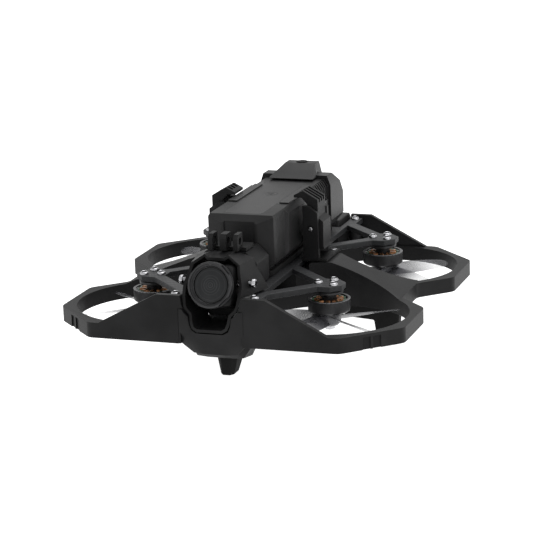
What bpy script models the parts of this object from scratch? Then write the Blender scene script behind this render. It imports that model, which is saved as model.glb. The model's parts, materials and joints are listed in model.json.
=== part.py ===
"""Small ducted racing drone with pusher propellers and a latched battery.

The nose looks along -Y, +X is the drone's own left and +Z is up.  The origin is
on the ground, under the middle of the four motors.
Every position is worked out from the sizes below.
"""

import math

import bmesh
import bpy
from mathutils import Matrix, Vector

MM = 0.001

# Clearances
GAP = 0.3 * MM  # between pieces that rest on each other
RUN_GAP = 0.5 * MM  # beside a piece that turns

# Propellers and the ducts around them
PROP_RADIUS = 31.5 * MM
TIP_CLEARANCE = 2.5 * MM
RING_WALL = 3.5 * MM  # from the bore to the flat sides of the duct
SPINE_HALF = 2.5 * MM  # from the centre line to the flat side of a duct
WEB_HALF = 3.5 * MM  # from the cross axis to the flat side of a duct
DUCT_HEIGHT = 6.7 * MM
GROUND_CLEARANCE = 17.9 * MM  # underside of the ducts
DUCT_CORNER = 5.0 * MM
WEB_REACH = 24.0 * MM  # outer edge of the side webs, outward of the motors
WEB_SLOPE_START = 9.2 * MM  # upper end of the web's slope, inward of the motors
WEB_EDGE = 16.0 * MM  # half length of a web along the drone
WALL_THICKNESS = 2.4 * MM
WALL_RISE = 14.2 * MM  # nose and tail walls above the duct tops
WALL_FLAT = 24.0 * MM  # half length of the level top of those walls
WALL_SLOPE_END = 51.0 * MM

# Arm plate
PLATE_RISE = 10.4 * MM  # underside of the plate above the duct tops
PLATE_THICKNESS = 2.5 * MM
PLATE_MARGIN = 1.5 * MM  # plate beyond the battery's side
ARM_HALF_WIDTH = 2.6 * MM
MOTOR_PAD = 6.8 * MM
TAB_HALF_WIDTH = 2.7 * MM
TAB_CLEARANCE = 0.86 * MM  # between the shroud's waist and a tab
TAB_LENGTH = 19.5 * MM

# Motors
BELL_RADIUS = 9.1 * MM
BELL_WALL = 1.2 * MM
BELL_HEIGHT = 5.8 * MM
MOTOR_COLUMN = 4.0 * MM  # from the bell's top to the plate
STATOR_RADIUS = 7.4 * MM
COLUMN_RADIUS = 3.5 * MM
MOTOR_FLANGE = 6.2 * MM
SHAFT_RADIUS = 0.75 * MM
THREAD_RADIUS = 1.0 * MM
HUB_RADIUS = 4.9 * MM
HUB_HEIGHT = 5.6 * MM
BLADES = 5
BLADE_CHORD = 9.0 * MM
BLADE_THICKNESS = 1.0 * MM

# Electronics under the arm plate
TRAY_HALF = 15.2 * MM
TRAY_WALL = 1.5 * MM
TRAY_CORNER = 4.6 * MM
BOARD_HALF = 12.9 * MM
BOARD_THICKNESS = 1.6 * MM
STACK_HALF_PITCH = 9.5 * MM
STANDOFF_RADIUS = 2.0 * MM
POST_RADIUS = 1.2 * MM

# Nose and camera
RIM_SETBACK = 1.5 * MM  # rim behind the face of the nose wall, at the arm plate's height
RIM_LEAN_TOP = 0.5  # how far the rim leans back for each step up from the arm plate
RIM_LEAN_CHIN = 0.26  # and how far forward for each step down
SHROUD_WALL = 1.3 * MM
TILT_AXIS_SETBACK = 10.7 * MM
TILT_AXIS_RISE = 5.4 * MM  # above the arm plate
CAMERA_TILT = math.radians(17)
OPTICAL_DROP = 1.9 * MM
LENS_FRONT = 10.0 * MM
LENS_RADIUS = 9.8 * MM
GLASS_RADIUS = 7.2 * MM
CAMERA_HALF = 9.0 * MM
CAMERA_DEPTH = 12.0 * MM
CAMERA_CORNER = 2.6 * MM
TILT_SCREW_RADIUS = 1.0 * MM
COVER_FRONT = 21.6 * MM  # behind the face of the nose wall
COVER_BACK = 37.5 * MM
COVER_STEP = 0.4 * MM  # cover's top below the shroud's back edge
COVER_SPREAD = 1.51  # half width of the cover, in camera half widths
SHROUD_WAIST = 1.56  # half width of the shroud's back at the plate, in camera half widths
SHROUD_CREST = 1.79  # height of the shroud's back above the plate, in camera half widths
PRONG_PITCH = 5.6 * MM
PRONG_HEIGHT = 8.0 * MM  # above the cover
PRONG_DEPTH = 6.5 * MM
PRONG_OVERHANG = 4.0 * MM  # in front of their base
PRONG_HOLE_RADIUS = 1.6 * MM

# Battery
BATTERY_LENGTH = 96.0 * MM
BATTERY_HALF_WIDTH = 16.0 * MM
BATTERY_LIFT = 3.1 * MM  # above the arm plate
BATTERY_HEIGHT = 23.9 * MM
BATTERY_WALL = 1.5 * MM
CASE_LENGTH = 76.5 * MM
CASE_CHAMFER = 2.4 * MM  # depth of the slanted front corners
SHOULDER_RISE = 0.6 * MM
CELL_COUNT = 4
BUTTON_RADIUS = 2.6 * MM
BUTTON_TRAVEL = 0.6 * MM

# Latches beside the battery
LATCH_PIVOT_OUT = 5.9 * MM  # pivot outward of the battery's side
LATCH_PIVOT_RISE = 11.7 * MM  # above the battery's underside
LATCH_FRONT = -6.4 * MM
LATCH_WIDTH = 11.0 * MM
CHEEK_THICKNESS = 2.0 * MM
PIN_RADIUS = 0.9 * MM
SPRING_RADIUS = 1.9 * MM

# Feet
LEG_THICKNESS = 5.0 * MM
FOOT_HALF_TOP = 4.7 * MM
FOOT_HALF_BOTTOM = 3.0 * MM
KEEL_DEPTH = 9.3 * MM
CHIN_DEPTH = 5.0 * MM  # of the notch that the chin's fairing fills in the nose wall
KEEL_FRONT = 16.0 * MM  # back edge of the shroud's lower half, behind the nose wall's face

# Values that follow from the sizes above
DUCT_BORE = PROP_RADIUS + TIP_CLEARANCE
DUCT_REACH = DUCT_BORE + RING_WALL
MOTOR_X = DUCT_REACH + SPINE_HALF
MOTOR_Y = DUCT_REACH + WEB_HALF
OCTAGON_HALF = DUCT_REACH * math.tan(math.pi / 8)
DUCT_TOP = GROUND_CLEARANCE + DUCT_HEIGHT
WALL_TOP = DUCT_TOP + WALL_RISE
FACE_Y = MOTOR_Y + DUCT_REACH
PLATE_BOTTOM = DUCT_TOP + PLATE_RISE
PLATE_TOP = PLATE_BOTTOM + PLATE_THICKNESS
TAB_CENTRE_X = SHROUD_WAIST * CAMERA_HALF + TAB_CLEARANCE + TAB_HALF_WIDTH
PLATE_HALF_WIDTH = max(BATTERY_HALF_WIDTH + PLATE_MARGIN, TAB_CENTRE_X)
DECK_TOP = PLATE_BOTTOM - GAP
RIM_Y = -FACE_Y + RIM_SETBACK
TILT_AXIS_Y = -FACE_Y + TILT_AXIS_SETBACK
TILT_AXIS_Z = PLATE_TOP + TILT_AXIS_RISE
COVER_TOP = PLATE_TOP + SHROUD_CREST * CAMERA_HALF - COVER_STEP
COVER_HALF_WIDTH = COVER_SPREAD * CAMERA_HALF
PRONG_TOP = COVER_TOP + PRONG_HEIGHT
BATTERY_BOTTOM = PLATE_TOP + BATTERY_LIFT
LATCH_PIVOT_Z = BATTERY_BOTTOM + LATCH_PIVOT_RISE
BATTERY_FRONT = -FACE_Y + COVER_BACK + 1.0 * MM
BATTERY_TOP = BATTERY_BOTTOM + BATTERY_HEIGHT
CASE_BACK = BATTERY_FRONT + CASE_LENGTH
BATTERY_BACK = BATTERY_FRONT + BATTERY_LENGTH
CELL_HALF_WIDTH = BATTERY_HALF_WIDTH - BATTERY_WALL - 1.5 * MM
CELL_FRONT = BATTERY_FRONT + CASE_CHAMFER + BATTERY_WALL + GAP
CRADLE_TOP = BATTERY_BOTTOM - GAP
CHIN_HALF_WIDTH = SHROUD_WAIST * CAMERA_HALF + GAP / 2
CHIN_TOP = PLATE_TOP - CAMERA_HALF / 2
LATCH_X = BATTERY_HALF_WIDTH + LATCH_PIVOT_OUT
LATCH_BACK = LATCH_FRONT + LATCH_WIDTH
BELL_TOP = PLATE_BOTTOM - MOTOR_COLUMN
BELL_BOTTOM = BELL_TOP - BELL_HEIGHT
HUB_TOP = BELL_BOTTOM - GAP
KEEL_TOP = GROUND_CLEARANCE - GAP
KEEL_BOTTOM = KEEL_TOP - KEEL_DEPTH + 0.3 * MM

MOTORS = {
    "front_left": (1, -1),
    "front_right": (-1, -1),
    "rear_left": (1, 1),
    "rear_right": (-1, 1),
}
SIDES = {"left": 1, "right": -1}

PLANES = {
    "XY": Matrix.Identity(4),
    "XZ": Matrix(((1, 0, 0, 0), (0, 0, 1, 0), (0, 1, 0, 0), (0, 0, 0, 1))),
    "YZ": Matrix(((0, 0, 1, 0), (1, 0, 0, 0), (0, 1, 0, 0), (0, 0, 0, 1))),
}

# Colour, roughness and metallic value of each material
FINISHES = {
    "shell_black": ((0.018, 0.018, 0.019), 0.62, 0.0),
    "battery_black": ((0.024, 0.024, 0.025), 0.55, 0.0),
    "rubber_black": ((0.012, 0.012, 0.012), 0.80, 0.0),
    "plate_grey": ((0.075, 0.077, 0.080), 0.42, 0.3),
    "bell_dark": ((0.030, 0.030, 0.032), 0.30, 0.8),
    "copper": ((0.55, 0.23, 0.07), 0.38, 0.9),
    "steel": ((0.60, 0.60, 0.61), 0.28, 1.0),
    "blade_smoke": ((0.05, 0.05, 0.055), 0.35, 0.0),
    "board_green": ((0.02, 0.06, 0.05), 0.50, 0.0),
    "cell_wrap": ((0.30, 0.31, 0.33), 0.40, 0.6),
    "lens_dark": ((0.004, 0.005, 0.008), 0.05, 0.0),
    "plug_yellow": ((0.55, 0.38, 0.03), 0.50, 0.0),
}


# ---------------------------------------------------------------- helpers


def collection(name):
    """New collection in the scene."""
    group = bpy.data.collections.new(name)
    bpy.context.scene.collection.children.link(group)
    return group


def finish(name):
    """Principled material of a named finish, made once."""
    existing = bpy.data.materials.get(name)
    if existing:
        return existing
    colour, roughness, metallic = FINISHES[name]
    material = bpy.data.materials.new(name)
    material.use_nodes = True
    shader = material.node_tree.nodes["Principled BSDF"]
    shader.inputs["Base Color"].default_value = (*colour, 1.0)
    shader.inputs["Roughness"].default_value = roughness
    shader.inputs["Metallic"].default_value = metallic
    return material


def add_piece(name, mesh, finish_name, pivot=(0, 0, 0)):
    """Object in the drone's collection whose origin is at the pivot."""
    mesh.transform(Matrix.Translation(-Vector(pivot)))
    piece = bpy.data.objects.new(name, mesh)
    piece.location = pivot
    mesh.materials.clear()
    mesh.materials.append(finish(finish_name))
    DRONE.objects.link(piece)
    return piece


def add_cutter(name, mesh):
    """Hidden object that shapes another one."""
    cutter = bpy.data.objects.new(name, mesh)
    cutter.hide_render = True
    cutter.display_type = "WIRE"
    CUTTERS.objects.link(cutter)
    return cutter


def combine(piece, operation, *tools):
    """Add one exact Boolean modifier per tool."""
    for tool in tools:
        modifier = piece.modifiers.new(tool.name, "BOOLEAN")
        modifier.operation = operation
        modifier.object = tool
        modifier.solver = "EXACT"


def cut(piece, *tools):
    """Take the tools' volume away from the piece."""
    combine(piece, "DIFFERENCE", *tools)


def join(piece, *tools):
    """Add the tools' volume to the piece."""
    combine(piece, "UNION", *tools)


def bevel(piece, width, segments=1, angle=35):
    """Break the piece's sharp edges."""
    modifier = piece.modifiers.new("edges", "BEVEL")
    modifier.width = width
    modifier.segments = segments
    modifier.limit_method = "ANGLE"
    modifier.angle_limit = math.radians(angle)


def close_mesh(mesh):
    """Weld a mesh's seams and turn its faces outward."""
    work = bmesh.new()
    work.from_mesh(mesh)
    bmesh.ops.remove_doubles(work, verts=work.verts, dist=1e-7)
    bmesh.ops.recalc_face_normals(work, faces=work.faces)
    work.to_mesh(mesh)
    work.free()
    return mesh


def prism(loops, plane, low, high):
    """Mesh of a flat outline, with holes if it has more loops, swept from low to high."""
    curve = bpy.data.curves.new("outline", "CURVE")
    curve.dimensions = "2D"
    curve.fill_mode = "BOTH"
    curve.extrude = (high - low) / 2
    for loop in loops:
        spline = curve.splines.new("POLY")
        spline.points.add(len(loop) - 1)
        for point, (u, v) in zip(spline.points, loop):
            point.co = (u, v, 0, 1)
        spline.use_cyclic_u = True
    holder = bpy.data.objects.new("outline", curve)
    DRONE.objects.link(holder)
    evaluated = holder.evaluated_get(bpy.context.evaluated_depsgraph_get())
    mesh = bpy.data.meshes.new_from_object(evaluated)
    bpy.data.objects.remove(holder)
    mesh.transform(PLANES[plane] @ Matrix.Translation((0, 0, (low + high) / 2)))
    return close_mesh(mesh)


def box(low, high):
    """Mesh of a box between two opposite corners."""
    work = bmesh.new()
    size = Vector(high) - Vector(low)
    centre = (Vector(high) + Vector(low)) / 2
    scale = Matrix.Diagonal((*size, 1.0))
    bmesh.ops.create_cube(work, size=1.0, matrix=Matrix.Translation(centre) @ scale)
    mesh = bpy.data.meshes.new("box")
    work.to_mesh(mesh)
    work.free()
    return mesh


def rod(start, end, radius, sides=24, end_radius=None):
    """Mesh of a cylinder or cone between two points."""
    start, end = Vector(start), Vector(end)
    along = end - start
    turn = along.to_track_quat("Z", "Y").to_matrix().to_4x4()
    work = bmesh.new()
    bmesh.ops.create_cone(
        work,
        cap_ends=True,
        segments=sides,
        radius1=radius,
        radius2=radius if end_radius is None else end_radius,
        depth=along.length,
        matrix=Matrix.Translation((start + end) / 2) @ turn,
    )
    mesh = bpy.data.meshes.new("rod")
    work.to_mesh(mesh)
    work.free()
    return mesh


def turned(name, profile, finish_name, pivot, steps=32, closed=False):
    """Piece turned about Z from (radius, height) points that run down its outer side."""
    mesh = bpy.data.meshes.new(name)
    edges = [(i, i + 1) for i in range(len(profile) - 1)]
    if closed:
        edges.append((len(profile) - 1, 0))
    mesh.from_pydata([(r, 0, z) for r, z in profile], edges, [])
    piece = bpy.data.objects.new(name, mesh)
    piece.location = pivot
    DRONE.objects.link(piece)
    screw = piece.modifiers.new("turn", "SCREW")
    screw.steps = steps
    screw.render_steps = steps
    screw.use_merge_vertices = True
    screw.merge_threshold = 0.00001
    mesh.materials.append(finish(finish_name))
    return piece


def rounded(corners, radius, steps=3, sharp=()):
    """Outline whose corners are arcs of one radius, but for those listed as sharp."""
    points = []
    for index, corner in enumerate(corners):
        if index in sharp:
            points.append(tuple(corner))
            continue
        here = Vector(corner)
        before = Vector(corners[index - 1]) - here
        after = Vector(corners[(index + 1) % len(corners)]) - here
        half = before.angle(after) / 2
        reach = min(radius / math.tan(half), before.length * 0.49, after.length * 0.49)
        start = here + before.normalized() * reach
        end = here + after.normalized() * reach
        middle = (before.normalized() + after.normalized()).normalized()
        centre = here + middle * (reach / math.cos(half))
        for step in range(steps + 1):
            share = step / steps
            spoke = (start - centre).lerp(end - centre, share).normalized()
            points.append(tuple(centre + spoke * (start - centre).length))
    return points


def mirrored(half):
    """Closed outline from its right half, listed top to bottom."""
    return list(half) + [(-u, v) for u, v in reversed(half)]


def loft(sections):
    """Closed mesh through rings of points that all have the same count."""
    work = bmesh.new()
    rings = [[work.verts.new(point) for point in ring] for ring in sections]
    count = len(rings[0])
    for ring, following in zip(rings, rings[1:]):
        for i in range(count):
            j = (i + 1) % count
            work.faces.new((ring[i], ring[j], following[j], following[i]))
    work.faces.new(rings[0])
    work.faces.new(rings[-1])
    bmesh.ops.triangulate(work, faces=work.faces)
    bmesh.ops.recalc_face_normals(work, faces=work.faces)
    mesh = bpy.data.meshes.new("loft")
    work.to_mesh(mesh)
    work.free()
    return mesh


def frozen(piece):
    """Mesh of a piece as its modifiers leave it; the piece itself is removed."""
    evaluated = piece.evaluated_get(bpy.context.evaluated_depsgraph_get())
    mesh = bpy.data.meshes.new_from_object(evaluated)
    bpy.data.objects.remove(piece)
    return mesh


def spaced(low, high, count):
    """Evenly spaced values from low to high."""
    return [low + (high - low) * i / (count - 1) for i in range(count)]


def motor_centre(name, z=0.0):
    """Point on a motor's axis."""
    side, end = MOTORS[name]
    return Vector((side * MOTOR_X, end * MOTOR_Y, z))


# ---------------------------------------------------------------- ducts and arms


def wall_half_outline(top):
    """Front view of a nose or tail wall, right half, as an area above the wall."""
    sky = top + 20 * MM
    return [
        (0.0, sky),
        (MOTOR_X + DUCT_REACH + 5 * MM, sky),
        (MOTOR_X + DUCT_REACH + 5 * MM, DUCT_TOP),
        (WALL_SLOPE_END, DUCT_TOP),
        (WALL_FLAT, top),
        (0.0, top),
    ]


def nose_rim():
    """Right half of the shroud's front rim, top to bottom, sized by the camera inside it."""
    across = [(0.38, 1.77), (0.58, 1.91), (1.20, 1.51), (1.27, 1.18), (1.42, 0.67), (1.44, 0.51)]
    across += [(1.43, 0.09), (1.36, -0.33), (1.27, -0.52), (1.04, -0.73), (0.98, -1.11)]
    across += [(0.87, -1.36), (0.64, -1.50)]
    points = []
    for wide, rise in across:
        lean = RIM_LEAN_TOP if rise > 0 else RIM_LEAN_CHIN
        up = rise * CAMERA_HALF
        points.append(Vector((wide * CAMERA_HALF, RIM_Y + lean * up, PLATE_TOP + up)))
    return points


def nose_half_outline(clearance):
    """Front view of the shroud where it passes the nose wall, right half, with a clearance."""
    points = []
    for front, back in zip(nose_rim(), shroud_back()):
        share = (-FACE_Y + WALL_THICKNESS - front.y) / (back.y - front.y)
        widest = max(front.x, front.lerp(back, share).x)
        points.append((widest + clearance, front.z))
    return points


def duct_outline(side):
    """Plan of one side's pair of ducts with the web between them."""
    notch = DUCT_REACH - MOTOR_Y + OCTAGON_HALF - WEB_REACH
    front = [
        (MOTOR_X + OCTAGON_HALF, -FACE_Y),
        (MOTOR_X + DUCT_REACH, -(MOTOR_Y + OCTAGON_HALF)),
        (MOTOR_X + DUCT_REACH, -(MOTOR_Y - OCTAGON_HALF)),
        (MOTOR_X + WEB_REACH, notch),
    ]
    rear = [(x, -y) for x, y in reversed(front)]
    split = GAP / 2
    corners = [(split, -FACE_Y), *front, *rear, (split, FACE_Y)]
    outline = rounded(corners, DUCT_CORNER, 3, sharp=(0, len(corners) - 1))
    return [(side * x, y) for x, y in outline]


def duct_cutters():
    """Hidden shapes that both duct halves share."""
    far = MOTOR_X + DUCT_REACH + 5 * MM
    tools = []
    for name in MOTORS:
        low = motor_centre(name, GROUND_CLEARANCE - 5 * MM)
        high = motor_centre(name, WALL_TOP + 5 * MM)
        tools.append(add_cutter(f"bore_{name}", rod(low, high, DUCT_BORE, 64)))
    wall_sky = mirrored(wall_half_outline(WALL_TOP))
    slope_foot = MOTOR_X + WEB_REACH
    web_sky = mirrored(
        [
            (0.0, WALL_TOP + 20 * MM),
            (far, WALL_TOP + 20 * MM),
            (far, DUCT_TOP),
            (slope_foot, DUCT_TOP),
            (MOTOR_X - WEB_SLOPE_START, PLATE_TOP),
            (0.0, PLATE_TOP),
        ]
    )
    for end, label in ((-1, "front"), (1, "rear")):
        inner = end * (FACE_Y - WALL_THICKNESS)
        outer = end * (FACE_Y + 5 * MM)
        near = end * WEB_EDGE
        ys = sorted((inner, outer))
        tools.append(add_cutter(f"sky_{label}", prism([wall_sky], "XZ", *ys)))
        ys = sorted((inner, near))
        pocket = box((-far, ys[0], DUCT_TOP), (far, ys[1], WALL_TOP + 10 * MM))
        tools.append(add_cutter(f"pocket_{label}", pocket))
    sky_edge = WEB_EDGE + 0.5 * MM
    tools.append(add_cutter("sky_web", prism([web_sky], "XZ", -sky_edge, sky_edge)))
    inner_end = PLATE_HALF_WIDTH + 4.3 * MM
    low = (-inner_end, -WEB_EDGE - 1 * MM, DECK_TOP)
    high = (inner_end, WEB_EDGE + 1 * MM, WALL_TOP + 10 * MM)
    tools.append(add_cutter("deck_space", box(low, high)))
    tray = [tray_outline(TRAY_HALF + GAP)]
    low_z = GROUND_CLEARANCE - 5 * MM
    tools.append(add_cutter("tray_space", prism(tray, "XY", low_z, WALL_TOP)))
    foot = nose_half_outline(GAP)[-1]
    nose = nose_half_outline(GAP)[4:] + [(foot[0], low_z)]
    nose = mirrored([(nose[0][0], WALL_TOP + 10 * MM), *nose])
    nose_space = prism([nose], "XZ", -FACE_Y - 5 * MM, -FACE_Y + KEEL_FRONT + 0.5 * MM)
    tools.append(add_cutter("nose_space", nose_space))
    side = CHIN_HALF_WIDTH + GAP
    low = (-side, -FACE_Y - 5 * MM, low_z)
    high = (side, -FACE_Y + CHIN_DEPTH, CHIN_TOP + GAP)
    tools.append(add_cutter("chin_space", box(low, high)))
    tail = tail_half_width() + GAP
    low = (-tail, FACE_Y - WALL_THICKNESS - 1 * MM, DUCT_TOP)
    high = (tail, FACE_Y + 5 * MM, WALL_TOP + 10 * MM)
    tools.append(add_cutter("tail_space", box(low, high)))
    return tools


def boss(side, end):
    """Hidden column that carries one tab of the arm plate."""
    x = side * TAB_CENTRE_X
    y = end * (FACE_Y - WALL_THICKNESS - 4.6 * MM)
    shape = rod((x, y, DUCT_TOP - 2 * MM), (x, y, DECK_TOP), TAB_HALF_WIDTH + 0.2 * MM, 16)
    return add_cutter(f"boss_{side}_{end}", shape)


def make_duct_frames():
    """Left and right mouldings, each with two ducts, a web and half of both walls."""
    tools = duct_cutters()
    for label, side in SIDES.items():
        outline = duct_outline(side)
        mesh = prism([outline], "XY", GROUND_CLEARANCE, WALL_TOP + 1 * MM)
        piece = add_piece(f"duct_frame_{label}", mesh, "shell_black")
        cut(piece, *tools)
        join(piece, boss(side, -1), boss(side, 1))


def tray_outline(half):
    """Plan of the electronics tray, an octagon with short corners."""
    short = half - TRAY_CORNER
    quarter = [(half, short), (short, half)]
    points = []
    for sx, sy, flip in ((1, 1, 0), (-1, 1, 1), (-1, -1, 0), (1, -1, 1)):
        corner = [(sx * x, sy * y) for x, y in quarter]
        points += reversed(corner) if flip else corner
    return points


def arm_plate_quarter():
    """Plan of one quarter of the arm plate, from the cross axis to the nose tab."""
    shift = ARM_HALF_WIDTH / math.sqrt(2)
    pad = MOTOR_PAD
    short = pad * math.tan(math.pi / 8)
    inner = MOTOR_Y - shift - (MOTOR_X + shift - PLATE_HALF_WIDTH)
    tab_out = TAB_CENTRE_X + TAB_HALF_WIDTH
    tab_in = TAB_CENTRE_X - TAB_HALF_WIDTH
    tab_end = FACE_Y - WALL_THICKNESS - 0.6 * MM
    tab_start = FACE_Y - TAB_LENGTH - 3 * MM
    arm_at_tab = MOTOR_Y + shift + (MOTOR_X + shift - tab_out)
    arm_at_pad = 2 * shift - pad
    return [
        (PLATE_HALF_WIDTH, inner),
        (MOTOR_X + arm_at_pad, MOTOR_Y - pad),
        (MOTOR_X + short, MOTOR_Y - pad),
        (MOTOR_X + pad, MOTOR_Y - short),
        (MOTOR_X + pad, MOTOR_Y + short),
        (MOTOR_X + short, MOTOR_Y + pad),
        (MOTOR_X + arm_at_pad, MOTOR_Y + pad),
        (tab_out, arm_at_tab),
        (tab_out, tab_end),
        (tab_in, tab_end),
        (tab_in, tab_start),
    ]


def arm_plate_window():
    """Triangular window between one motor's two arms, with its apex cut off."""
    shift = ARM_HALF_WIDTH / math.sqrt(2)
    inner = PLATE_HALF_WIDTH
    apex = MOTOR_X - MOTOR_PAD + 0.2 * MM
    run = MOTOR_X - shift - inner
    stub = MOTOR_X - shift - apex
    return [
        (inner, MOTOR_Y + shift - run),
        (apex, MOTOR_Y + shift - stub),
        (apex, MOTOR_Y - shift + stub),
        (inner, MOTOR_Y - shift + run),
    ]


def make_arm_plate():
    """One flat plate with a pair of arms to every motor."""
    quarter = arm_plate_quarter()
    outline = []
    for sx, sy, flip in ((1, 1, 0), (-1, 1, 1), (-1, -1, 0), (1, -1, 1)):
        corner = [(sx * x, sy * y) for x, y in quarter]
        outline += reversed(corner) if flip else corner
    windows = []
    for sx in (-1, 1):
        for sy in (-1, 1):
            windows.append([(sx * x, sy * y) for x, y in arm_plate_window()])
    mesh = prism([outline, *windows], "XY", PLATE_BOTTOM, PLATE_TOP)
    add_piece("arm_plate", mesh, "plate_grey")


# ---------------------------------------------------------------- electronics


def make_tray():
    """Open box under the arm plate that holds the circuit boards."""
    mesh = prism([tray_outline(TRAY_HALF)], "XY", GROUND_CLEARANCE, DECK_TOP)
    tray = add_piece("electronics_tray", mesh, "shell_black")
    floor = GROUND_CLEARANCE + TRAY_WALL
    inside = prism([tray_outline(TRAY_HALF - TRAY_WALL)], "XY", floor, DECK_TOP + 5 * MM)
    cut(tray, add_cutter("tray_inside", inside))


def make_boards():
    """Speed controller and flight controller on four standoffs."""
    floor = GROUND_CLEARANCE + TRAY_WALL + GAP
    first = floor + 2.4 * MM
    second = first + 5.2 * MM
    holes = []
    for sx in (-1, 1):
        for sy in (-1, 1):
            x, y = sx * STACK_HALF_PITCH, sy * STACK_HALF_PITCH
            low, high = (x, y, floor - 2 * MM), (x, y, second + 5 * MM)
            shape = rod(low, high, POST_RADIUS + GAP, 16)
            holes.append(add_cutter(f"board_hole_{sx}_{sy}", shape))
    for name, z in (("speed_controller", first), ("flight_controller", second)):
        corners = rounded(tray_outline(BOARD_HALF), 1.0 * MM, 2)
        board = add_piece(name, prism([corners], "XY", z, z + BOARD_THICKNESS), "board_green")
        cut(board, *holes)
    profile = [
        (0.0, second + BOARD_THICKNESS + 1.2 * MM),
        (POST_RADIUS, second + BOARD_THICKNESS + 1.2 * MM),
        (POST_RADIUS, second - GAP),
        (STANDOFF_RADIUS, second - GAP),
        (STANDOFF_RADIUS, first + BOARD_THICKNESS + GAP),
        (POST_RADIUS, first + BOARD_THICKNESS + GAP),
        (POST_RADIUS, first - GAP),
        (STANDOFF_RADIUS, first - GAP),
        (STANDOFF_RADIUS, floor),
        (0.0, floor),
    ]
    for number, (sx, sy) in enumerate(MOTORS.values(), start=1):
        place = (sx * STACK_HALF_PITCH, sy * STACK_HALF_PITCH, 0)
        turned(f"standoff_{number}", profile, "steel", place, 16)


# ---------------------------------------------------------------- nose and camera


def shroud_back():
    """Right half of the ring of points at the back of the nose shroud."""
    deep, low = COVER_FRONT - 0.6 * MM, KEEL_FRONT
    across = [(0.38, 1.77, deep), (0.58, SHROUD_CREST, deep), (1.40, 1.54, deep), (1.48, 1.20, deep)]
    across += [(1.82, 0.61, deep), (1.91, 0.44, deep), (2.09, 0.12, deep), (SHROUD_WAIST, 0.09, deep)]
    across += [(1.22, -0.54, low), (1.00, -0.78, low), (0.93, -1.13, low), (0.82, -1.38, low)]
    across += [(0.60, -1.52, low)]
    points = []
    for wide, rise, setback in across:
        up = rise * CAMERA_HALF
        points.append(Vector((wide * CAMERA_HALF, -FACE_Y + setback, PLATE_TOP + up)))
    return points


def open_loft(name, rings):
    """Open skin through rings of points that all have the same count."""
    work = bmesh.new()
    rows = [[work.verts.new(point) for point in ring] for ring in rings]
    count = len(rows[0])
    for row, following in zip(rows, rows[1:]):
        for i in range(count):
            j = (i + 1) % count
            work.faces.new((row[i], row[j], following[j], following[i]))
    bmesh.ops.triangulate(work, faces=work.faces)
    mesh = bpy.data.meshes.new(name)
    work.to_mesh(mesh)
    work.free()
    return mesh


def make_nose_shroud():
    """Angular hood around the camera, open at the front and the back."""
    front, back = nose_rim(), shroud_back()
    middle = [near.lerp(far, 0.45) for near, far in zip(front, back)]
    rings = []
    for half in (front, middle, back):
        rings.append(half + [Vector((-p.x, p.y, p.z)) for p in reversed(half)])
    shroud = add_piece("nose_shroud", open_loft("nose_shroud", rings), "shell_black")
    skin = shroud.modifiers.new("wall", "SOLIDIFY")
    skin.thickness = SHROUD_WALL
    skin.offset = -1.0
    skin.use_even_offset = False
    skin.use_rim = True
    low = (-25 * MM, TILT_AXIS_Y, TILT_AXIS_Z)
    high = (25 * MM, TILT_AXIS_Y, TILT_AXIS_Z)
    shape = rod(low, high, TILT_SCREW_RADIUS + GAP, 16)
    cut(shroud, add_cutter("tilt_screw_hole", shape))


def camera_piece(piece):
    """Lean a camera piece up about the tilt axis, where its origin is."""
    piece.location = (0, TILT_AXIS_Y, TILT_AXIS_Z)
    piece.rotation_euler = (-CAMERA_TILT, 0, 0)
    return piece


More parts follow.
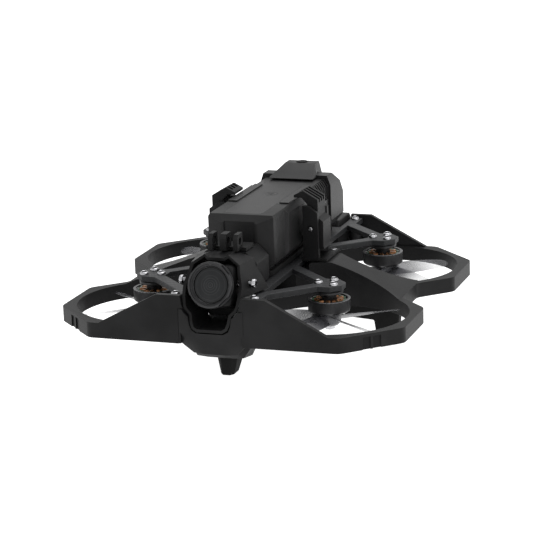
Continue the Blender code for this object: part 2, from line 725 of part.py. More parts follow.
def make_camera():
    """Camera block, lens ring, glass and the two screws it tilts on."""
    depth = CAMERA_DEPTH / 2
    low = (-CAMERA_HALF, -depth, -CAMERA_HALF - OPTICAL_DROP)
    high = (CAMERA_HALF, depth, CAMERA_HALF - OPTICAL_DROP)
    body = camera_piece(add_piece("camera_body", box(low, high), "shell_black"))
    bevel(body, CAMERA_CORNER, 2)
    reach = CAMERA_HALF - 2.5 * MM
    for label, side in SIDES.items():
        low = (side * (reach - 0.3 * MM), 0, 0)
        shape = rod(low, (side * 12 * MM, 0, 0), TILT_SCREW_RADIUS + GAP, 16)
        hole = camera_piece(add_cutter(f"camera_hole_{label}", shape))
        cut(body, hole)
    seat = -depth - GAP
    profile = [
        (0.0, LENS_FRONT - 2.6 * MM),
        (GLASS_RADIUS + GAP, LENS_FRONT - 2.6 * MM),
        (GLASS_RADIUS + GAP, LENS_FRONT - 0.8 * MM),
        (LENS_RADIUS - 1.2 * MM, LENS_FRONT),
        (LENS_RADIUS - 0.4 * MM, LENS_FRONT),
        (LENS_RADIUS, LENS_FRONT - 0.5 * MM),
        (LENS_RADIUS, -seat + 0.6 * MM),
        (LENS_RADIUS - 1.6 * MM, -seat),
        (0.0, -seat),
    ]
    glass = [
        (0.0, LENS_FRONT - 1.2 * MM),
        (GLASS_RADIUS * 0.55, LENS_FRONT - 1.35 * MM),
        (GLASS_RADIUS, LENS_FRONT - 1.8 * MM),
        (GLASS_RADIUS, LENS_FRONT - 2.3 * MM),
        (0.0, LENS_FRONT - 2.3 * MM),
    ]
    tilt_axis = Vector((0, TILT_AXIS_Y, TILT_AXIS_Z))
    lean = Matrix.Rotation(-CAMERA_TILT, 3, "X")
    centre = tilt_axis + lean @ Vector((0, 0, -OPTICAL_DROP))
    for name, points, look, steps in (
        ("lens_barrel", profile, "bell_dark", 40),
        ("lens_glass", glass, "lens_dark", 32),
    ):
        lens = turned(name, points, look, centre, steps)
        lens.rotation_euler = (math.pi / 2 - CAMERA_TILT, 0, 0)
    for label, side in SIDES.items():
        sleeve = TILT_SCREW_RADIUS * 2
        outer = max(shroud_half_widths(TILT_AXIS_Y + sleeve)) + GAP
        inner = min(shroud_half_widths(TILT_AXIS_Y - sleeve)) - SHROUD_WALL * 1.2 - GAP
        profile = [
            (0.0, outer + 1.5 * MM),
            (sleeve * 0.8, outer + 1.5 * MM),
            (sleeve, outer + 1.1 * MM),
            (sleeve, outer),
            (TILT_SCREW_RADIUS, outer),
            (TILT_SCREW_RADIUS, inner),
            (sleeve, inner),
            (sleeve, CAMERA_HALF + GAP),
            (TILT_SCREW_RADIUS, CAMERA_HALF + GAP),
            (TILT_SCREW_RADIUS, reach),
            (0.0, reach),
        ]
        screw = turned(f"tilt_screw_{label}", profile, "steel", tilt_axis, 20)
        screw.rotation_euler = (0, side * math.pi / 2, 0)


def shroud_half_widths(y):
    """Half widths over the shroud's outside, above and below the tilt axis, at one y."""
    widths = []
    for front, back in list(zip(nose_rim(), shroud_back()))[4:6]:
        share = (y - front.y) / (back.y - front.y)
        widths.append(front.lerp(back, share).x)
    return widths


def make_nose_cover():
    """Cover behind the camera, its radio, and the prongs for an action camera."""
    front, back = -FACE_Y + COVER_FRONT, -FACE_Y + COVER_BACK
    bottom = PLATE_TOP + GAP
    slope, wall = 4.6 * MM, 1.6 * MM
    wide = COVER_HALF_WIDTH
    half = [(wide - slope, COVER_TOP), (wide, COVER_TOP - slope), (wide, bottom)]
    cover = add_piece("nose_cover", prism([mirrored(half)], "XZ", front, back), "shell_black")
    inner = [(wide - slope - 0.8 * MM, COVER_TOP - wall), (wide - wall, COVER_TOP - slope - 1 * MM)]
    inner.append((wide - wall, bottom - 5 * MM))
    space = prism([mirrored(inner)], "XZ", front + wall, back - wall)
    cut(cover, add_cutter("cover_inside", space))
    side = wide - wall - 1.5 * MM
    low = (-side, front + wall + 0.6 * MM, bottom)
    high = (side, back - wall - 0.6 * MM, bottom + 7 * MM)
    radio = add_piece("video_transmitter", box(low, high), "cell_wrap")
    bevel(radio, 0.5 * MM)
    base_front = front + 0.4 * MM
    base = COVER_TOP + GAP
    low = (-9.0 * MM, base_front, base)
    high = (9.0 * MM, base_front + PRONG_DEPTH + 3 * MM, base + 1.6 * MM)
    mount = add_piece("camera_mount_prongs", box(low, high), "shell_black")
    tip = base_front - PRONG_OVERHANG
    near, far = nose_rim()[1], shroud_back()[1]
    lowest = near.lerp(far, (tip - near.y) / (far.y - near.y)).z + GAP
    side_view = [
        (tip, lowest),
        (tip, PRONG_TOP - 1.8 * MM),
        (tip + 1.4 * MM, PRONG_TOP),
        (tip + PRONG_DEPTH, PRONG_TOP),
        (tip + PRONG_DEPTH, lowest),
    ]
    thick = {-1: 2.1 * MM, 0: 2.9 * MM, 1: 2.1 * MM}
    for place, width in thick.items():
        x = place * PRONG_PITCH
        shape = prism([side_view], "YZ", x - width / 2, x + width / 2)
        join(mount, add_cutter(f"prong_{place}", shape))
    reach = 2 * PRONG_PITCH
    hole_y, hole_z = tip + PRONG_DEPTH / 2, PRONG_TOP - 2 * PRONG_HOLE_RADIUS
    shape = rod((-reach, hole_y, hole_z), (reach, hole_y, hole_z), PRONG_HOLE_RADIUS, 20)
    cut(mount, add_cutter("prong_hole", shape))


def half_sections(stations):
    """Rings of a symmetric loft from (y, right half) pairs, top to bottom."""
    sections = []
    for y, half in stations:
        right = [(x * MM, y, z) for x, z in half]
        sections.append(right + [(-x, y, z) for x, y, z in reversed(right)])
    return sections


def chin_fairing():
    """Mesh that flows from under the shroud's lower half out to the nose wall."""
    wide = CHIN_HALF_WIDTH
    back = CHIN_DEPTH - GAP
    foot = nose_rim()[-1].z - 2 * GAP
    levels = (
        (KEEL_TOP - 4.6 * MM, (0.34, 3.4), (0.61, 4.4), (0.68, 4.6)),
        (KEEL_TOP, (0.32, 1.0), (0.68, 1.2), (1.0, 2.6)),
        (foot, (0.31, -1.8), (0.66, -1.3), (1.0, 0.0)),
        (CHIN_TOP, (0.31, -1.6), (0.81, -1.2), (1.0, 0.1)),
    )
    sections = []
    for z, *front in levels:
        half = [(share * wide, -FACE_Y + y * MM, z) for share, y in front]
        half.append((half[-1][0], -FACE_Y + back, z))
        sections.append(half + [(-x, y, z) for x, y, z in reversed(half)])
    return loft(sections)


def make_chin():
    """Wedge under the nose with its fairing, hollowed for the shroud."""
    top, bottom = KEEL_TOP, KEEL_BOTTOM
    keel = (
        (3.0, (7.0, top), (7.0, top - 1.0 * MM), (5.6, top - 1.6 * MM), (4.6, top - 2.4 * MM)),
        (10.5, (13.6, top), (13.2, top - 3.6 * MM), (10.4, bottom + 1.4 * MM), (5.6, bottom + 1 * MM)),
        (18.0, (14.0, top), (13.6, top - 4.2 * MM), (11.6, bottom + 0.8 * MM), (6.0, bottom)),
        (31.0, (7.5, top), (7.5, top - 4.2 * MM), (6.0, bottom + 0.6 * MM), (4.0, bottom)),
    )
    stations = [(-FACE_Y + back * MM, half) for back, *half in keel]
    chin = add_piece("chin_guard", loft(half_sections(stations)), "shell_black")
    join(chin, add_cutter("chin_fairing", chin_fairing()))
    outline = [(x, z - 2 * GAP) for x, z in nose_half_outline(GAP)[5:]]
    outline = mirrored([(outline[0][0], PLATE_TOP), *outline])
    space = prism([outline], "XZ", -FACE_Y - 5 * MM, -FACE_Y + CHIN_DEPTH + 1 * MM)
    cut(chin, add_cutter("chin_inside", space))


def make_foot(name, end):
    """Tapered fin that the nose or the tail stands on."""
    top = KEEL_BOTTOM - GAP
    shapes = []
    for z, half, near, far in (
        (0.0, FOOT_HALF_BOTTOM, 16.2 * MM, 25.7 * MM),
        (top, FOOT_HALF_TOP, 16.5 * MM, 30.0 * MM),
    ):
        front, back = end * (FACE_Y - near), end * (FACE_Y - far)
        cheek = half * 0.55
        taper = end * 2.0 * MM
        ring = [(-cheek, front), (cheek, front), (half, front - taper), (half, back + taper)]
        ring += [(cheek, back), (-cheek, back), (-half, back + taper), (-half, front - taper)]
        shapes.append([(x, y, z) for x, y in ring])
    add_piece(name, loft(shapes), "rubber_black")


def tail_half_width():
    """Half width of the cover between the two tail walls."""
    return TAB_CENTRE_X - TAB_HALF_WIDTH - 1.0 * MM


def make_tail():
    """Cover between the tail walls, keel and rear foot."""
    wide = tail_half_width()
    back = FACE_Y + 0.9 * MM
    side_view = [
        (FACE_Y - COVER_FRONT, DUCT_TOP + GAP),
        (FACE_Y - COVER_FRONT, PLATE_TOP),
        (FACE_Y - COVER_FRONT + 2 * MM, CRADLE_TOP - 0.4 * MM),
        (back - 4 * MM, CRADLE_TOP - 0.4 * MM),
        (back, PLATE_BOTTOM),
        (back, DUCT_TOP + GAP),
    ]
    cover = add_piece("tail_cover", prism([side_view], "YZ", -wide, wide), "shell_black")
    floor = DUCT_TOP - 3 * MM
    low = (-wide + 1.8 * MM, FACE_Y - COVER_FRONT + 1.8 * MM, floor)
    high = (wide - 1.8 * MM, back - 2.2 * MM, PLATE_BOTTOM)
    cut(cover, add_cutter("tail_inside", box(low, high)))
    slot_half = 5.5 * MM
    for number, z in enumerate(spaced(DUCT_TOP + 3 * MM, PLATE_BOTTOM - 2.5 * MM, 2)):
        low = (-slot_half, back - 5 * MM, z - 0.8 * MM)
        high = (slot_half, back + 5 * MM, z + 0.8 * MM)
        cut(cover, add_cutter(f"tail_slot_{number}", box(low, high)))
    top, bottom = KEEL_TOP, KEEL_BOTTOM
    stations = []
    for near, half_top, half_low in ((12.0, 9.0, 5.0), (31.0, 7.5, 4.0)):
        half = ((half_top, top), (half_top, top - 4.2 * MM), (half_low, bottom))
        stations.append((FACE_Y - near * MM, half))
    add_piece("tail_keel", loft(half_sections(stations)), "shell_black")
    make_foot("tail_foot", 1)


def make_legs():
    """Flat leg under each web."""
    top = GROUND_CLEARANCE - GAP
    inner, outer = MOTOR_X - 8 * MM, MOTOR_X + WEB_REACH - 4 * MM
    for label, side in SIDES.items():
        outline = [
            (inner, top),
            (outer, top),
            (outer - 1.5 * MM, 0.0),
            (outer - 10.5 * MM, 0.0),
            (outer - 12.0 * MM, top - 7.0 * MM),
            (inner + 3 * MM, top - 6.0 * MM),
        ]
        outline = [(side * x, z) for x, z in outline]
        depth = LEG_THICKNESS / 2
        leg = add_piece(f"side_leg_{label}", prism([outline], "XZ", -depth, depth), "rubber_black")
        bevel(leg, 0.5 * MM)


# ---------------------------------------------------------------- motors


def motor_profiles():
    """Profiles of the fixed base and of the bell with its shaft."""
    bore = SHAFT_RADIUS + 0.35 * MM
    flange_low = DECK_TOP - 1.5 * MM
    stator_low = BELL_BOTTOM + BELL_WALL + RUN_GAP
    base = [
        (bore, DECK_TOP),
        (MOTOR_FLANGE, DECK_TOP),
        (MOTOR_FLANGE, flange_low),
        (COLUMN_RADIUS, flange_low),
        (COLUMN_RADIUS, BELL_TOP),
        (STATOR_RADIUS, BELL_TOP),
        (STATOR_RADIUS, stator_low),
        (bore, stator_low),
    ]
    inner = BELL_RADIUS - BELL_WALL
    floor = BELL_BOTTOM + BELL_WALL
    bell = [
        (0.0, DECK_TOP - 1.0 * MM),
        (SHAFT_RADIUS, DECK_TOP - 1.0 * MM),
        (SHAFT_RADIUS, floor),
        (inner, floor),
        (inner, BELL_TOP),
        (BELL_RADIUS, BELL_TOP),
        (BELL_RADIUS, BELL_BOTTOM + 0.8 * MM),
        (BELL_RADIUS - 1.0 * MM, BELL_BOTTOM),
        (THREAD_RADIUS, BELL_BOTTOM),
        (THREAD_RADIUS, HUB_TOP - HUB_HEIGHT - 2.2 * MM),
        (0.0, HUB_TOP - HUB_HEIGHT - 2.2 * MM),
    ]
    return base, bell


def blade(turn, hand):
    """One twisted blade, from inside the hub to the tip."""
    sections = []
    middle = HUB_TOP - HUB_HEIGHT / 2
    for share in (0.11, 0.35, 0.70, 0.94, 1.0):
        radius = share * (PROP_RADIUS - 0.2 * MM)
        chord = BLADE_CHORD * (0.62 + 1.3 * share - 1.25 * share * share)
        if share == 1.0:
            chord *= 0.55
        pitch = hand * math.radians(34 - 20 * share)
        thick = BLADE_THICKNESS * (1.15 - 0.45 * share) / 2
        ring = [(-0.5, 0.0), (0.0, 1.0), (0.5, 0.0), (0.0, -1.0)]
        points = []
        for along, up in ring:
            y, z = along * chord, up * thick
            tilted = (y * math.cos(pitch) - z * math.sin(pitch), y * math.sin(pitch) + z * math.cos(pitch))
            points.append((radius, tilted[0], middle + tilted[1]))
        sections.append(points)
    mesh = loft(sections)
    mesh.transform(Matrix.Rotation(turn, 4, "Z"))
    return mesh


def propeller_mesh(hand, start):
    """Hub with its blades in one body, about the world's Z axis."""
    bore = THREAD_RADIUS + GAP
    low = HUB_TOP - HUB_HEIGHT
    profile = [
        (bore, HUB_TOP),
        (HUB_RADIUS - 0.5 * MM, HUB_TOP),
        (HUB_RADIUS, HUB_TOP - 0.5 * MM),
        (HUB_RADIUS, low + 1.2 * MM),
        (HUB_RADIUS - 1.2 * MM, low),
        (bore, low),
    ]
    hub = turned("hub", profile, "blade_smoke", (0, 0, 0), 24, closed=True)
    for number in range(BLADES):
        shape = blade(start + 2 * math.pi * number / BLADES, hand)
        join(hub, add_cutter("blade_shape", shape))
    return frozen(hub)


def make_motors():
    """Four motors with propellers under them, opposite pairs turning alike."""
    base, bell = motor_profiles()
    low = HUB_TOP - HUB_HEIGHT - GAP
    nut_height = 1.5 * MM
    nut = [
        (THREAD_RADIUS + GAP, low),
        (2.3 * MM, low),
        (2.3 * MM, low - nut_height),
        (THREAD_RADIUS + GAP, low - nut_height),
    ]
    for name, (side, end) in MOTORS.items():
        place = motor_centre(name)
        turned(f"motor_base_{name}", base, "copper", place, 24, closed=True)
        turned(f"motor_bell_{name}", bell, "bell_dark", place, 32)
        start = math.pi / BLADES if side > 0 else math.pi - math.pi / BLADES
        mesh = propeller_mesh(side * end, start)
        propeller = bpy.data.objects.new(f"propeller_{name}", mesh)
        propeller.location = place
        DRONE.objects.link(propeller)
        turned(f"prop_nut_{name}", nut, "steel", place, 6, closed=True)


# ---------------------------------------------------------------- battery


def battery_section(grow=0.0):
    """Right half of the battery's front view, top to bottom."""
    half = BATTERY_HALF_WIDTH + grow
    return [
        (half - 1.8 * MM, BATTERY_TOP + grow),
        (half + 0.2 * MM, BATTERY_TOP - 3.0 * MM),
        (half + 0.2 * MM, BATTERY_BOTTOM + 4.6 * MM),
        (half - 3.6 * MM, BATTERY_BOTTOM),
    ]


def cell_space(front, back):
    """Hidden block of the room that the cells take."""
    half = CELL_HALF_WIDTH + GAP
    low = (-half, front, BATTERY_BOTTOM + BATTERY_WALL)
    return box(low, (half, back, BATTERY_TOP - BATTERY_WALL))


def make_battery_case():
    """Main shell of the battery with its shoulders and grip grooves."""
    half = BATTERY_HALF_WIDTH
    waist = half - 1.2 * MM
    step = BATTERY_FRONT + 17.5 * MM
    plan = [
        (8.6 * MM, BATTERY_FRONT),
        (waist, BATTERY_FRONT + CASE_CHAMFER),
        (waist, step),
        (half, step + 1.5 * MM),
        (half, CASE_BACK),
    ]
    mesh = prism([mirrored(plan)], "XY", BATTERY_BOTTOM - 5 * MM, BATTERY_TOP + 5 * MM)
    case = add_piece("battery_case", mesh, "battery_black")
    long = prism([mirrored(battery_section())], "XZ", BATTERY_FRONT - 5 * MM, CASE_BACK + 5 * MM)
    combine(case, "INTERSECT", add_cutter("battery_section", long))
    for label, side in SIDES.items():
        xs = sorted((side * 9.8 * MM, side * (half - 1.9 * MM)))
        low = (xs[0], LATCH_FRONT - 8 * MM, BATTERY_TOP - 1 * MM)
        high = (xs[1], LATCH_BACK + 15 * MM, BATTERY_TOP + SHOULDER_RISE)
        join(case, add_cutter(f"shoulder_{label}", box(low, high)))
    room = cell_space(CELL_FRONT - GAP, CASE_BACK + 5 * MM)
    cut(case, add_cutter("case_inside", room))
    for label, side in SIDES.items():
        for number, y in enumerate(spaced(BATTERY_FRONT + 7 * MM, BATTERY_FRONT + 12 * MM, 3)):
            xs = sorted((side * (waist - 0.6 * MM), side * (waist + 2 * MM)))
            low = (xs[0], y - 0.6 * MM, BATTERY_BOTTOM + 6 * MM)
            high = (xs[1], y + 0.6 * MM, BATTERY_TOP - 4 * MM)
            cut(case, add_cutter(f"groove_{label}_{number}", box(low, high)))


def make_battery_cap():
    """Rear cap with its raised crown, and the button in the crown."""
    front = CASE_BACK + GAP
    low, top = BATTERY_BOTTOM, BATTERY_TOP + 1.6 * MM
    side_view = [
        (front, low),
        (front, top),
        (front + 7.2 * MM, top),
        (front + 14.8 * MM, top - 5.2 * MM),
        (BATTERY_BACK, top - 11 * MM),
        (BATTERY_BACK, low + 3 * MM),
        (BATTERY_BACK - 3 * MM, low),
    ]
    wide = BATTERY_HALF_WIDTH + 5 * MM
    cap = add_piece("battery_end_cap", prism([side_view], "YZ", -wide, wide), "battery_black")
    section = mirrored(battery_section(0.8 * MM))
    section = [(x, z + (2 * MM if z > BATTERY_TOP else 0.0)) for x, z in section]
    section = [(x, z - (1 * MM if z < BATTERY_BOTTOM + 1 * MM else 0.0)) for x, z in section]
    long = prism([section], "XZ", front - 5 * MM, BATTERY_BACK + 5 * MM)
    combine(cap, "INTERSECT", add_cutter("cap_section", long))
    crown_low = BATTERY_TOP + 0.9 * MM
    crown_top = BATTERY_TOP + 5.3 * MM
    flat_front, flat_back = front + 8 * MM, front + 14 * MM
    sections = []
    for y, half, height in (
        (front - 6.5 * MM, 10.5 * MM, crown_low + 0.2 * MM),
        (front + 0.1 * MM, 9.1 * MM, crown_low + 2.0 * MM),
        (flat_front, 7.3 * MM, crown_top),
        (flat_back, 7.3 * MM, crown_top),
        (BATTERY_BACK - 2 * MM, 8.5 * MM, BATTERY_TOP - 6 * MM),
    ):
        base = crown_low if y < flat_front else BATTERY_TOP - 8 * MM
        foot = 10.5 * MM
        ring = [(half, y, height), (foot, y, base), (-foot, y, base), (-half, y, height)]
        sections.append(ring)
    join(cap, add_cutter("crown", loft(sections)))
    room = cell_space(front - 5 * MM, front + 12 * MM)
    cut(cap, add_cutter("cap_inside", room))
    centre_y = (flat_front + flat_back) / 2
    seat = crown_top - 2.4 * MM
    low, high = (0, centre_y, seat), (0, centre_y, crown_top + 5 * MM)
    cut(cap, add_cutter("button_hole", rod(low, high, BUTTON_RADIUS + GAP, 24)))
    button_low = seat + BUTTON_TRAVEL + 0.3 * MM
    mesh = rod((0, centre_y, button_low), (0, centre_y, crown_top + 0.4 * MM), BUTTON_RADIUS, 24)
    add_piece("power_button", mesh, "rubber_black", (0, centre_y, button_low))
    low = (-5.5 * MM, BATTERY_BACK + GAP, BATTERY_BOTTOM + 5 * MM)
    high = (5.5 * MM, BATTERY_BACK + 4 * MM, BATTERY_BOTTOM + 12 * MM)
    plug = add_piece("battery_connector", box(low, high), "plug_yellow")
    bevel(plug, 0.8 * MM)


def make_battery_inside():
    """Top plate, cradle under the battery, and the stack of cells in it."""
    front = BATTERY_FRONT + 5 * MM
    back = CASE_BACK - 9 * MM
    corners = [(-8.6 * MM, front), (8.6 * MM, front), (8.6 * MM, back), (-8.6 * MM, back)]
    low = BATTERY_TOP + GAP
    plate = prism([rounded(corners, 2.5 * MM)], "XY", low, low + 0.5 * MM)
    add_piece("battery_top_plate", plate, "battery_black")
    half = BATTERY_HALF_WIDTH - 2.4 * MM
    corners = [(-half, BATTERY_FRONT), (half, BATTERY_FRONT)]
    corners += [(half, BATTERY_BACK - 4 * MM), (-half, BATTERY_BACK - 4 * MM)]
    lift = prism([rounded(corners, 4 * MM)], "XY", PLATE_TOP + GAP, CRADLE_TOP)
    add_piece("battery_cradle", lift, "rubber_black")
    bottom = BATTERY_BOTTOM + BATTERY_WALL
    room = BATTERY_HEIGHT - 2 * BATTERY_WALL
    pitch = room / CELL_COUNT
    for number in range(CELL_COUNT):
        z = bottom + number * pitch
        low = (-CELL_HALF_WIDTH, CELL_FRONT, z + GAP)
        high = (CELL_HALF_WIDTH, CASE_BACK + 10 * MM, z + pitch - GAP)
        cell = add_piece(f"battery_cell_{number + 1}", box(low, high), "cell_wrap")
        bevel(cell, 0.8 * MM)


# ---------------------------------------------------------------- latches


def latch_outline(side):
    """Front view of a latch lever: hook over the battery, thumb tab below."""
    x, z = LATCH_X, LATCH_PIVOT_Z
    shoulder = BATTERY_TOP + SHOULDER_RISE + GAP
    points = [
        (x - 8.2 * MM, shoulder + 0.2 * MM),
        (x - 8.2 * MM, z + 14.4 * MM),
        (x - 4.0 * MM, z + 16.5 * MM),
        (x + 2.8 * MM, z + 12.7 * MM),
        (x + 2.8 * MM, z + 4.8 * MM),
        (x + 5.1 * MM, z + 2.9 * MM),
        (x + 5.0 * MM, z - 8.0 * MM),
        (x + 5.4 * MM, z - 9.3 * MM),
        (x + 3.2 * MM, z - 9.3 * MM),
        (x + 1.6 * MM, z - 3.4 * MM),
        (x - 2.6 * MM, z - 2.6 * MM),
        (x - 3.0 * MM, z + 3.0 * MM),
        (x - 2.2 * MM, z + 10.6 * MM),
        (x - 4.6 * MM, shoulder + 0.2 * MM),
    ]
    return [(side * u, v) for u, v in points]


def bracket_cheek(side):
    """Front view of one ear of a latch bracket."""
    x, z = LATCH_X, LATCH_PIVOT_Z
    foot = PLATE_TOP + GAP
    points = [
        (x - 3.6 * MM, foot),
        (x - 3.6 * MM, z + 10.3 * MM),
        (x - 0.8 * MM, z + 10.2 * MM),
        (x + 3.3 * MM, z + 7.2 * MM),
        (x + 3.5 * MM, foot),
    ]
    return [(side * u, v) for u, v in points]


def make_latches():
    """Sprung levers that hook over the battery, in brackets on the webs."""
    base_low, base_top = PLATE_TOP + GAP, PLATE_TOP + GAP + 1.2 * MM
    front_ear = LATCH_FRONT - RUN_GAP
    back_ear = LATCH_BACK + RUN_GAP
    coil_low, coil_high = -2.4 * MM, 0.6 * MM
    for label, side in SIDES.items():
        pivot = (side * LATCH_X, 0, LATCH_PIVOT_Z)
        axis_front = (side * LATCH_X, front_ear - 8 * MM, LATCH_PIVOT_Z)
        axis_back = (side * LATCH_X, back_ear + 8 * MM, LATCH_PIVOT_Z)
        mesh = prism([latch_outline(side)], "XZ", LATCH_FRONT, LATCH_BACK)
        lever = add_piece(f"latch_lever_{label}", mesh, "shell_black", pivot)
        bore = add_cutter(f"lever_bore_{label}", rod(axis_front, axis_back, PIN_RADIUS + GAP, 20))
        slot_low = (side * LATCH_X, coil_low - GAP, LATCH_PIVOT_Z)
        slot_high = (side * LATCH_X, coil_high + GAP, LATCH_PIVOT_Z)
        slot_shape = rod(slot_low, slot_high, SPRING_RADIUS + RUN_GAP, 20)
        cut(lever, bore, add_cutter(f"spring_slot_{label}", slot_shape))

        xs = sorted((side * (LATCH_X - 4.3 * MM), side * (LATCH_X + 7.1 * MM)))
        low = (xs[0], front_ear - CHEEK_THICKNESS, base_low)
        high = (xs[1], back_ear + CHEEK_THICKNESS + 4 * MM, base_top)
        bracket = add_piece(f"latch_bracket_{label}", box(low, high), "shell_black")
        ears = ((front_ear - CHEEK_THICKNESS, front_ear), (back_ear, back_ear + CHEEK_THICKNESS))
        for number, (low_y, high_y) in enumerate(ears):
            shape = prism([bracket_cheek(side)], "XZ", low_y, high_y)
            join(bracket, add_cutter(f"ear_{label}_{number}", shape))
        shape = rod(axis_front, axis_back, PIN_RADIUS + GAP, 20)
        cut(bracket, add_cutter(f"ear_bore_{label}", shape))

        start = (side * LATCH_X, front_ear - CHEEK_THICKNESS - 0.4 * MM, LATCH_PIVOT_Z)
        end = (side * LATCH_X, back_ear + CHEEK_THICKNESS + 0.4 * MM, LATCH_PIVOT_Z)
        add_piece(f"latch_pin_{label}", rod(start, end, PIN_RADIUS, 20), "steel", pivot)

        inner = PIN_RADIUS + GAP
        coil = [
            (inner, -coil_low),
            (SPRING_RADIUS, -coil_low),
            (SPRING_RADIUS, -coil_high),
            (inner, -coil_high),
        ]
        spring = turned(f"latch_spring_{label}", coil, "steel", pivot, 20, closed=True)
        spring.rotation_euler = (math.pi / 2, 0, 0)


# ---------------------------------------------------------------- whole drone

for old in list(bpy.data.objects):
    bpy.data.objects.remove(old)
DRONE = collection("racing_drone")
CUTTERS = collection("cutters")

make_duct_frames()
make_arm_plate()
make_tray()
make_boards()
make_nose_shroud()
make_camera()
make_nose_cover()
make_chin()
make_foot("nose_foot", -1)
make_tail()
make_legs()
make_motors()
make_battery_case()
make_battery_cap()
make_battery_inside()
make_latches()
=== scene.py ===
"""Looks of a small ducted racing drone, built around its fixed frame.

The nose looks along -Y, +X is the drone's own left and +Z is up, in metres.
Sizes that the frame already holds are read from it; the rest are the fields of
the class that makes each sub-assembly.
"""

import json
import logging
import math
from collections.abc import Callable, Sequence
from dataclasses import dataclass, field
from enum import Enum

import bmesh
import bpy
from mathutils import Matrix, Vector

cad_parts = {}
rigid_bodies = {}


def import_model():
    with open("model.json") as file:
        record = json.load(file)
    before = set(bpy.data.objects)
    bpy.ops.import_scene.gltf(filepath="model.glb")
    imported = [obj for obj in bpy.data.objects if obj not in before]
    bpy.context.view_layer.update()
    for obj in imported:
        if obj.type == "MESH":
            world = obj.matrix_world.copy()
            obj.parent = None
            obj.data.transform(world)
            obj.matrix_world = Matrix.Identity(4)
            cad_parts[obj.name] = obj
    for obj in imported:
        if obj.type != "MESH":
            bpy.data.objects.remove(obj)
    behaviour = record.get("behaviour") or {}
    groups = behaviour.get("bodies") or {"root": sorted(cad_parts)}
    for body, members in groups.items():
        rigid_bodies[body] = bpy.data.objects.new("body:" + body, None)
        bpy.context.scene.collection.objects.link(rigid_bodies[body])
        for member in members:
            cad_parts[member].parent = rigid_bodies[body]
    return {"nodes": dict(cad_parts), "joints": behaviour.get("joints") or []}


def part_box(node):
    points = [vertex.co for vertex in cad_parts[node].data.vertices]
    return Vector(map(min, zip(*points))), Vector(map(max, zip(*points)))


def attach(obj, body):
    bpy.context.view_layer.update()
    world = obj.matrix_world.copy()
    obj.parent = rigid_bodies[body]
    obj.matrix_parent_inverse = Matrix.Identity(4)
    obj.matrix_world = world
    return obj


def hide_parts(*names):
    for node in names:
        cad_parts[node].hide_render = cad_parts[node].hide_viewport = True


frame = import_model()

LOG = logging.getLogger("drone")
MM = 0.001
FULL_TURN = 2 * math.pi
Outline = Sequence[tuple[float, float]]


class Side(Enum):
    """The drone's own left and right."""

    LEFT = 1
    RIGHT = -1

    @property
    def label(self) -> str:
        """Word used in the frame's names."""
        return self.name.lower()


class Corner(Enum):
    """A motor's place: side along X, then end along Y."""

    FRONT_LEFT = (1, -1)
    FRONT_RIGHT = (-1, -1)
    REAR_LEFT = (1, 1)
    REAR_RIGHT = (-1, 1)

    @property
    def label(self) -> str:
        """Word used in the frame's names."""
        return self.name.lower()

    @property
    def axis(self) -> Vector:
        """Point on the motor's axis, at ground height."""
        low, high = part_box(f"motor_bell_{self.label}")
        return Vector(((low.x + high.x) / 2, (low.y + high.y) / 2, 0.0))


class Plane(Enum):
    """Plane that a flat outline lies in; the sweep runs along the third axis."""

    XY = Matrix.Identity(4)
    XZ = Matrix(((1, 0, 0, 0), (0, 0, 1, 0), (0, 1, 0, 0), (0, 0, 0, 1)))
    YZ = Matrix(((0, 0, 1, 0), (1, 0, 0, 0), (0, 1, 0, 0), (0, 0, 0, 1)))


# ---------------------------------------------------------------- materials


class Value:
    """One number that varies over a surface and takes part in arithmetic."""

    def __init__(self, sheet: "Sheet", socket: bpy.types.NodeSocket) -> None:
        """Wrap the output of a node.

        Args:
            sheet: Material the node belongs to.
            socket: Output that carries the number.
        """
        self.sheet = sheet
        self.socket = socket

    def maths(self, operation: str, other: "Value | float" = 0.0, swap: bool = False) -> "Value":
        """Add a Math node.

        Args:
            operation: Blender's name of the operation.
            other: Second operand.
            swap: True when the other operand comes first.

        Returns:
            The result as a value.
        """
        pair = (other, self) if swap else (self, other)
        return self.sheet.node("ShaderNodeMath", {"operation": operation}, dict(enumerate(pair)))

    def __add__(self, other: "Value | float") -> "Value":
        """Sum."""
        return self.maths("ADD", other)

    def __radd__(self, other: float) -> "Value":
        """Sum with the number first."""
        return self.maths("ADD", other)

    def __sub__(self, other: "Value | float") -> "Value":
        """Difference."""
        return self.maths("SUBTRACT", other)

    def __rsub__(self, other: float) -> "Value":
        """Difference with the number first."""
        return self.maths("SUBTRACT", other, swap=True)

    def __mul__(self, other: "Value | float") -> "Value":
        """Product."""
        return self.maths("MULTIPLY", other)

    def __rmul__(self, other: float) -> "Value":
        """Product with the number first."""
        return self.maths("MULTIPLY", other)

    def __truediv__(self, other: "Value | float") -> "Value":
        """Quotient."""
        return self.maths("DIVIDE", other)

    def __mod__(self, other: "Value | float") -> "Value":
        """Remainder that is never negative."""
        return self.maths("FLOORED_MODULO", other)

    def __pow__(self, other: float) -> "Value":
        """Power."""
        return self.maths("POWER", other)

    def __lt__(self, other: "Value | float") -> "Value":
        """One where the value is below the other, or else zero."""
        return self.maths("LESS_THAN", other)

    def __gt__(self, other: "Value | float") -> "Value":
        """One where the value is above the other, or else zero."""
        return self.maths("GREATER_THAN", other)

    def floor(self) -> "Value":
        """Whole part."""
        return self.maths("FLOOR")

    def fraction(self) -> "Value":
        """Part after the point."""
        return self.maths("FRACT")

    def within(self, low: float, high: float) -> "Value":
        """Spread a range over zero to one, with a soft start and end.

        Args:
            low: Value that becomes zero.
            high: Value that becomes one.

        Returns:
            The share as a value.
        """
        settings = {"interpolation_type": "SMOOTHSTEP"}
        return self.sheet.node("ShaderNodeMapRange", settings, {0: self, 1: low, 2: high})


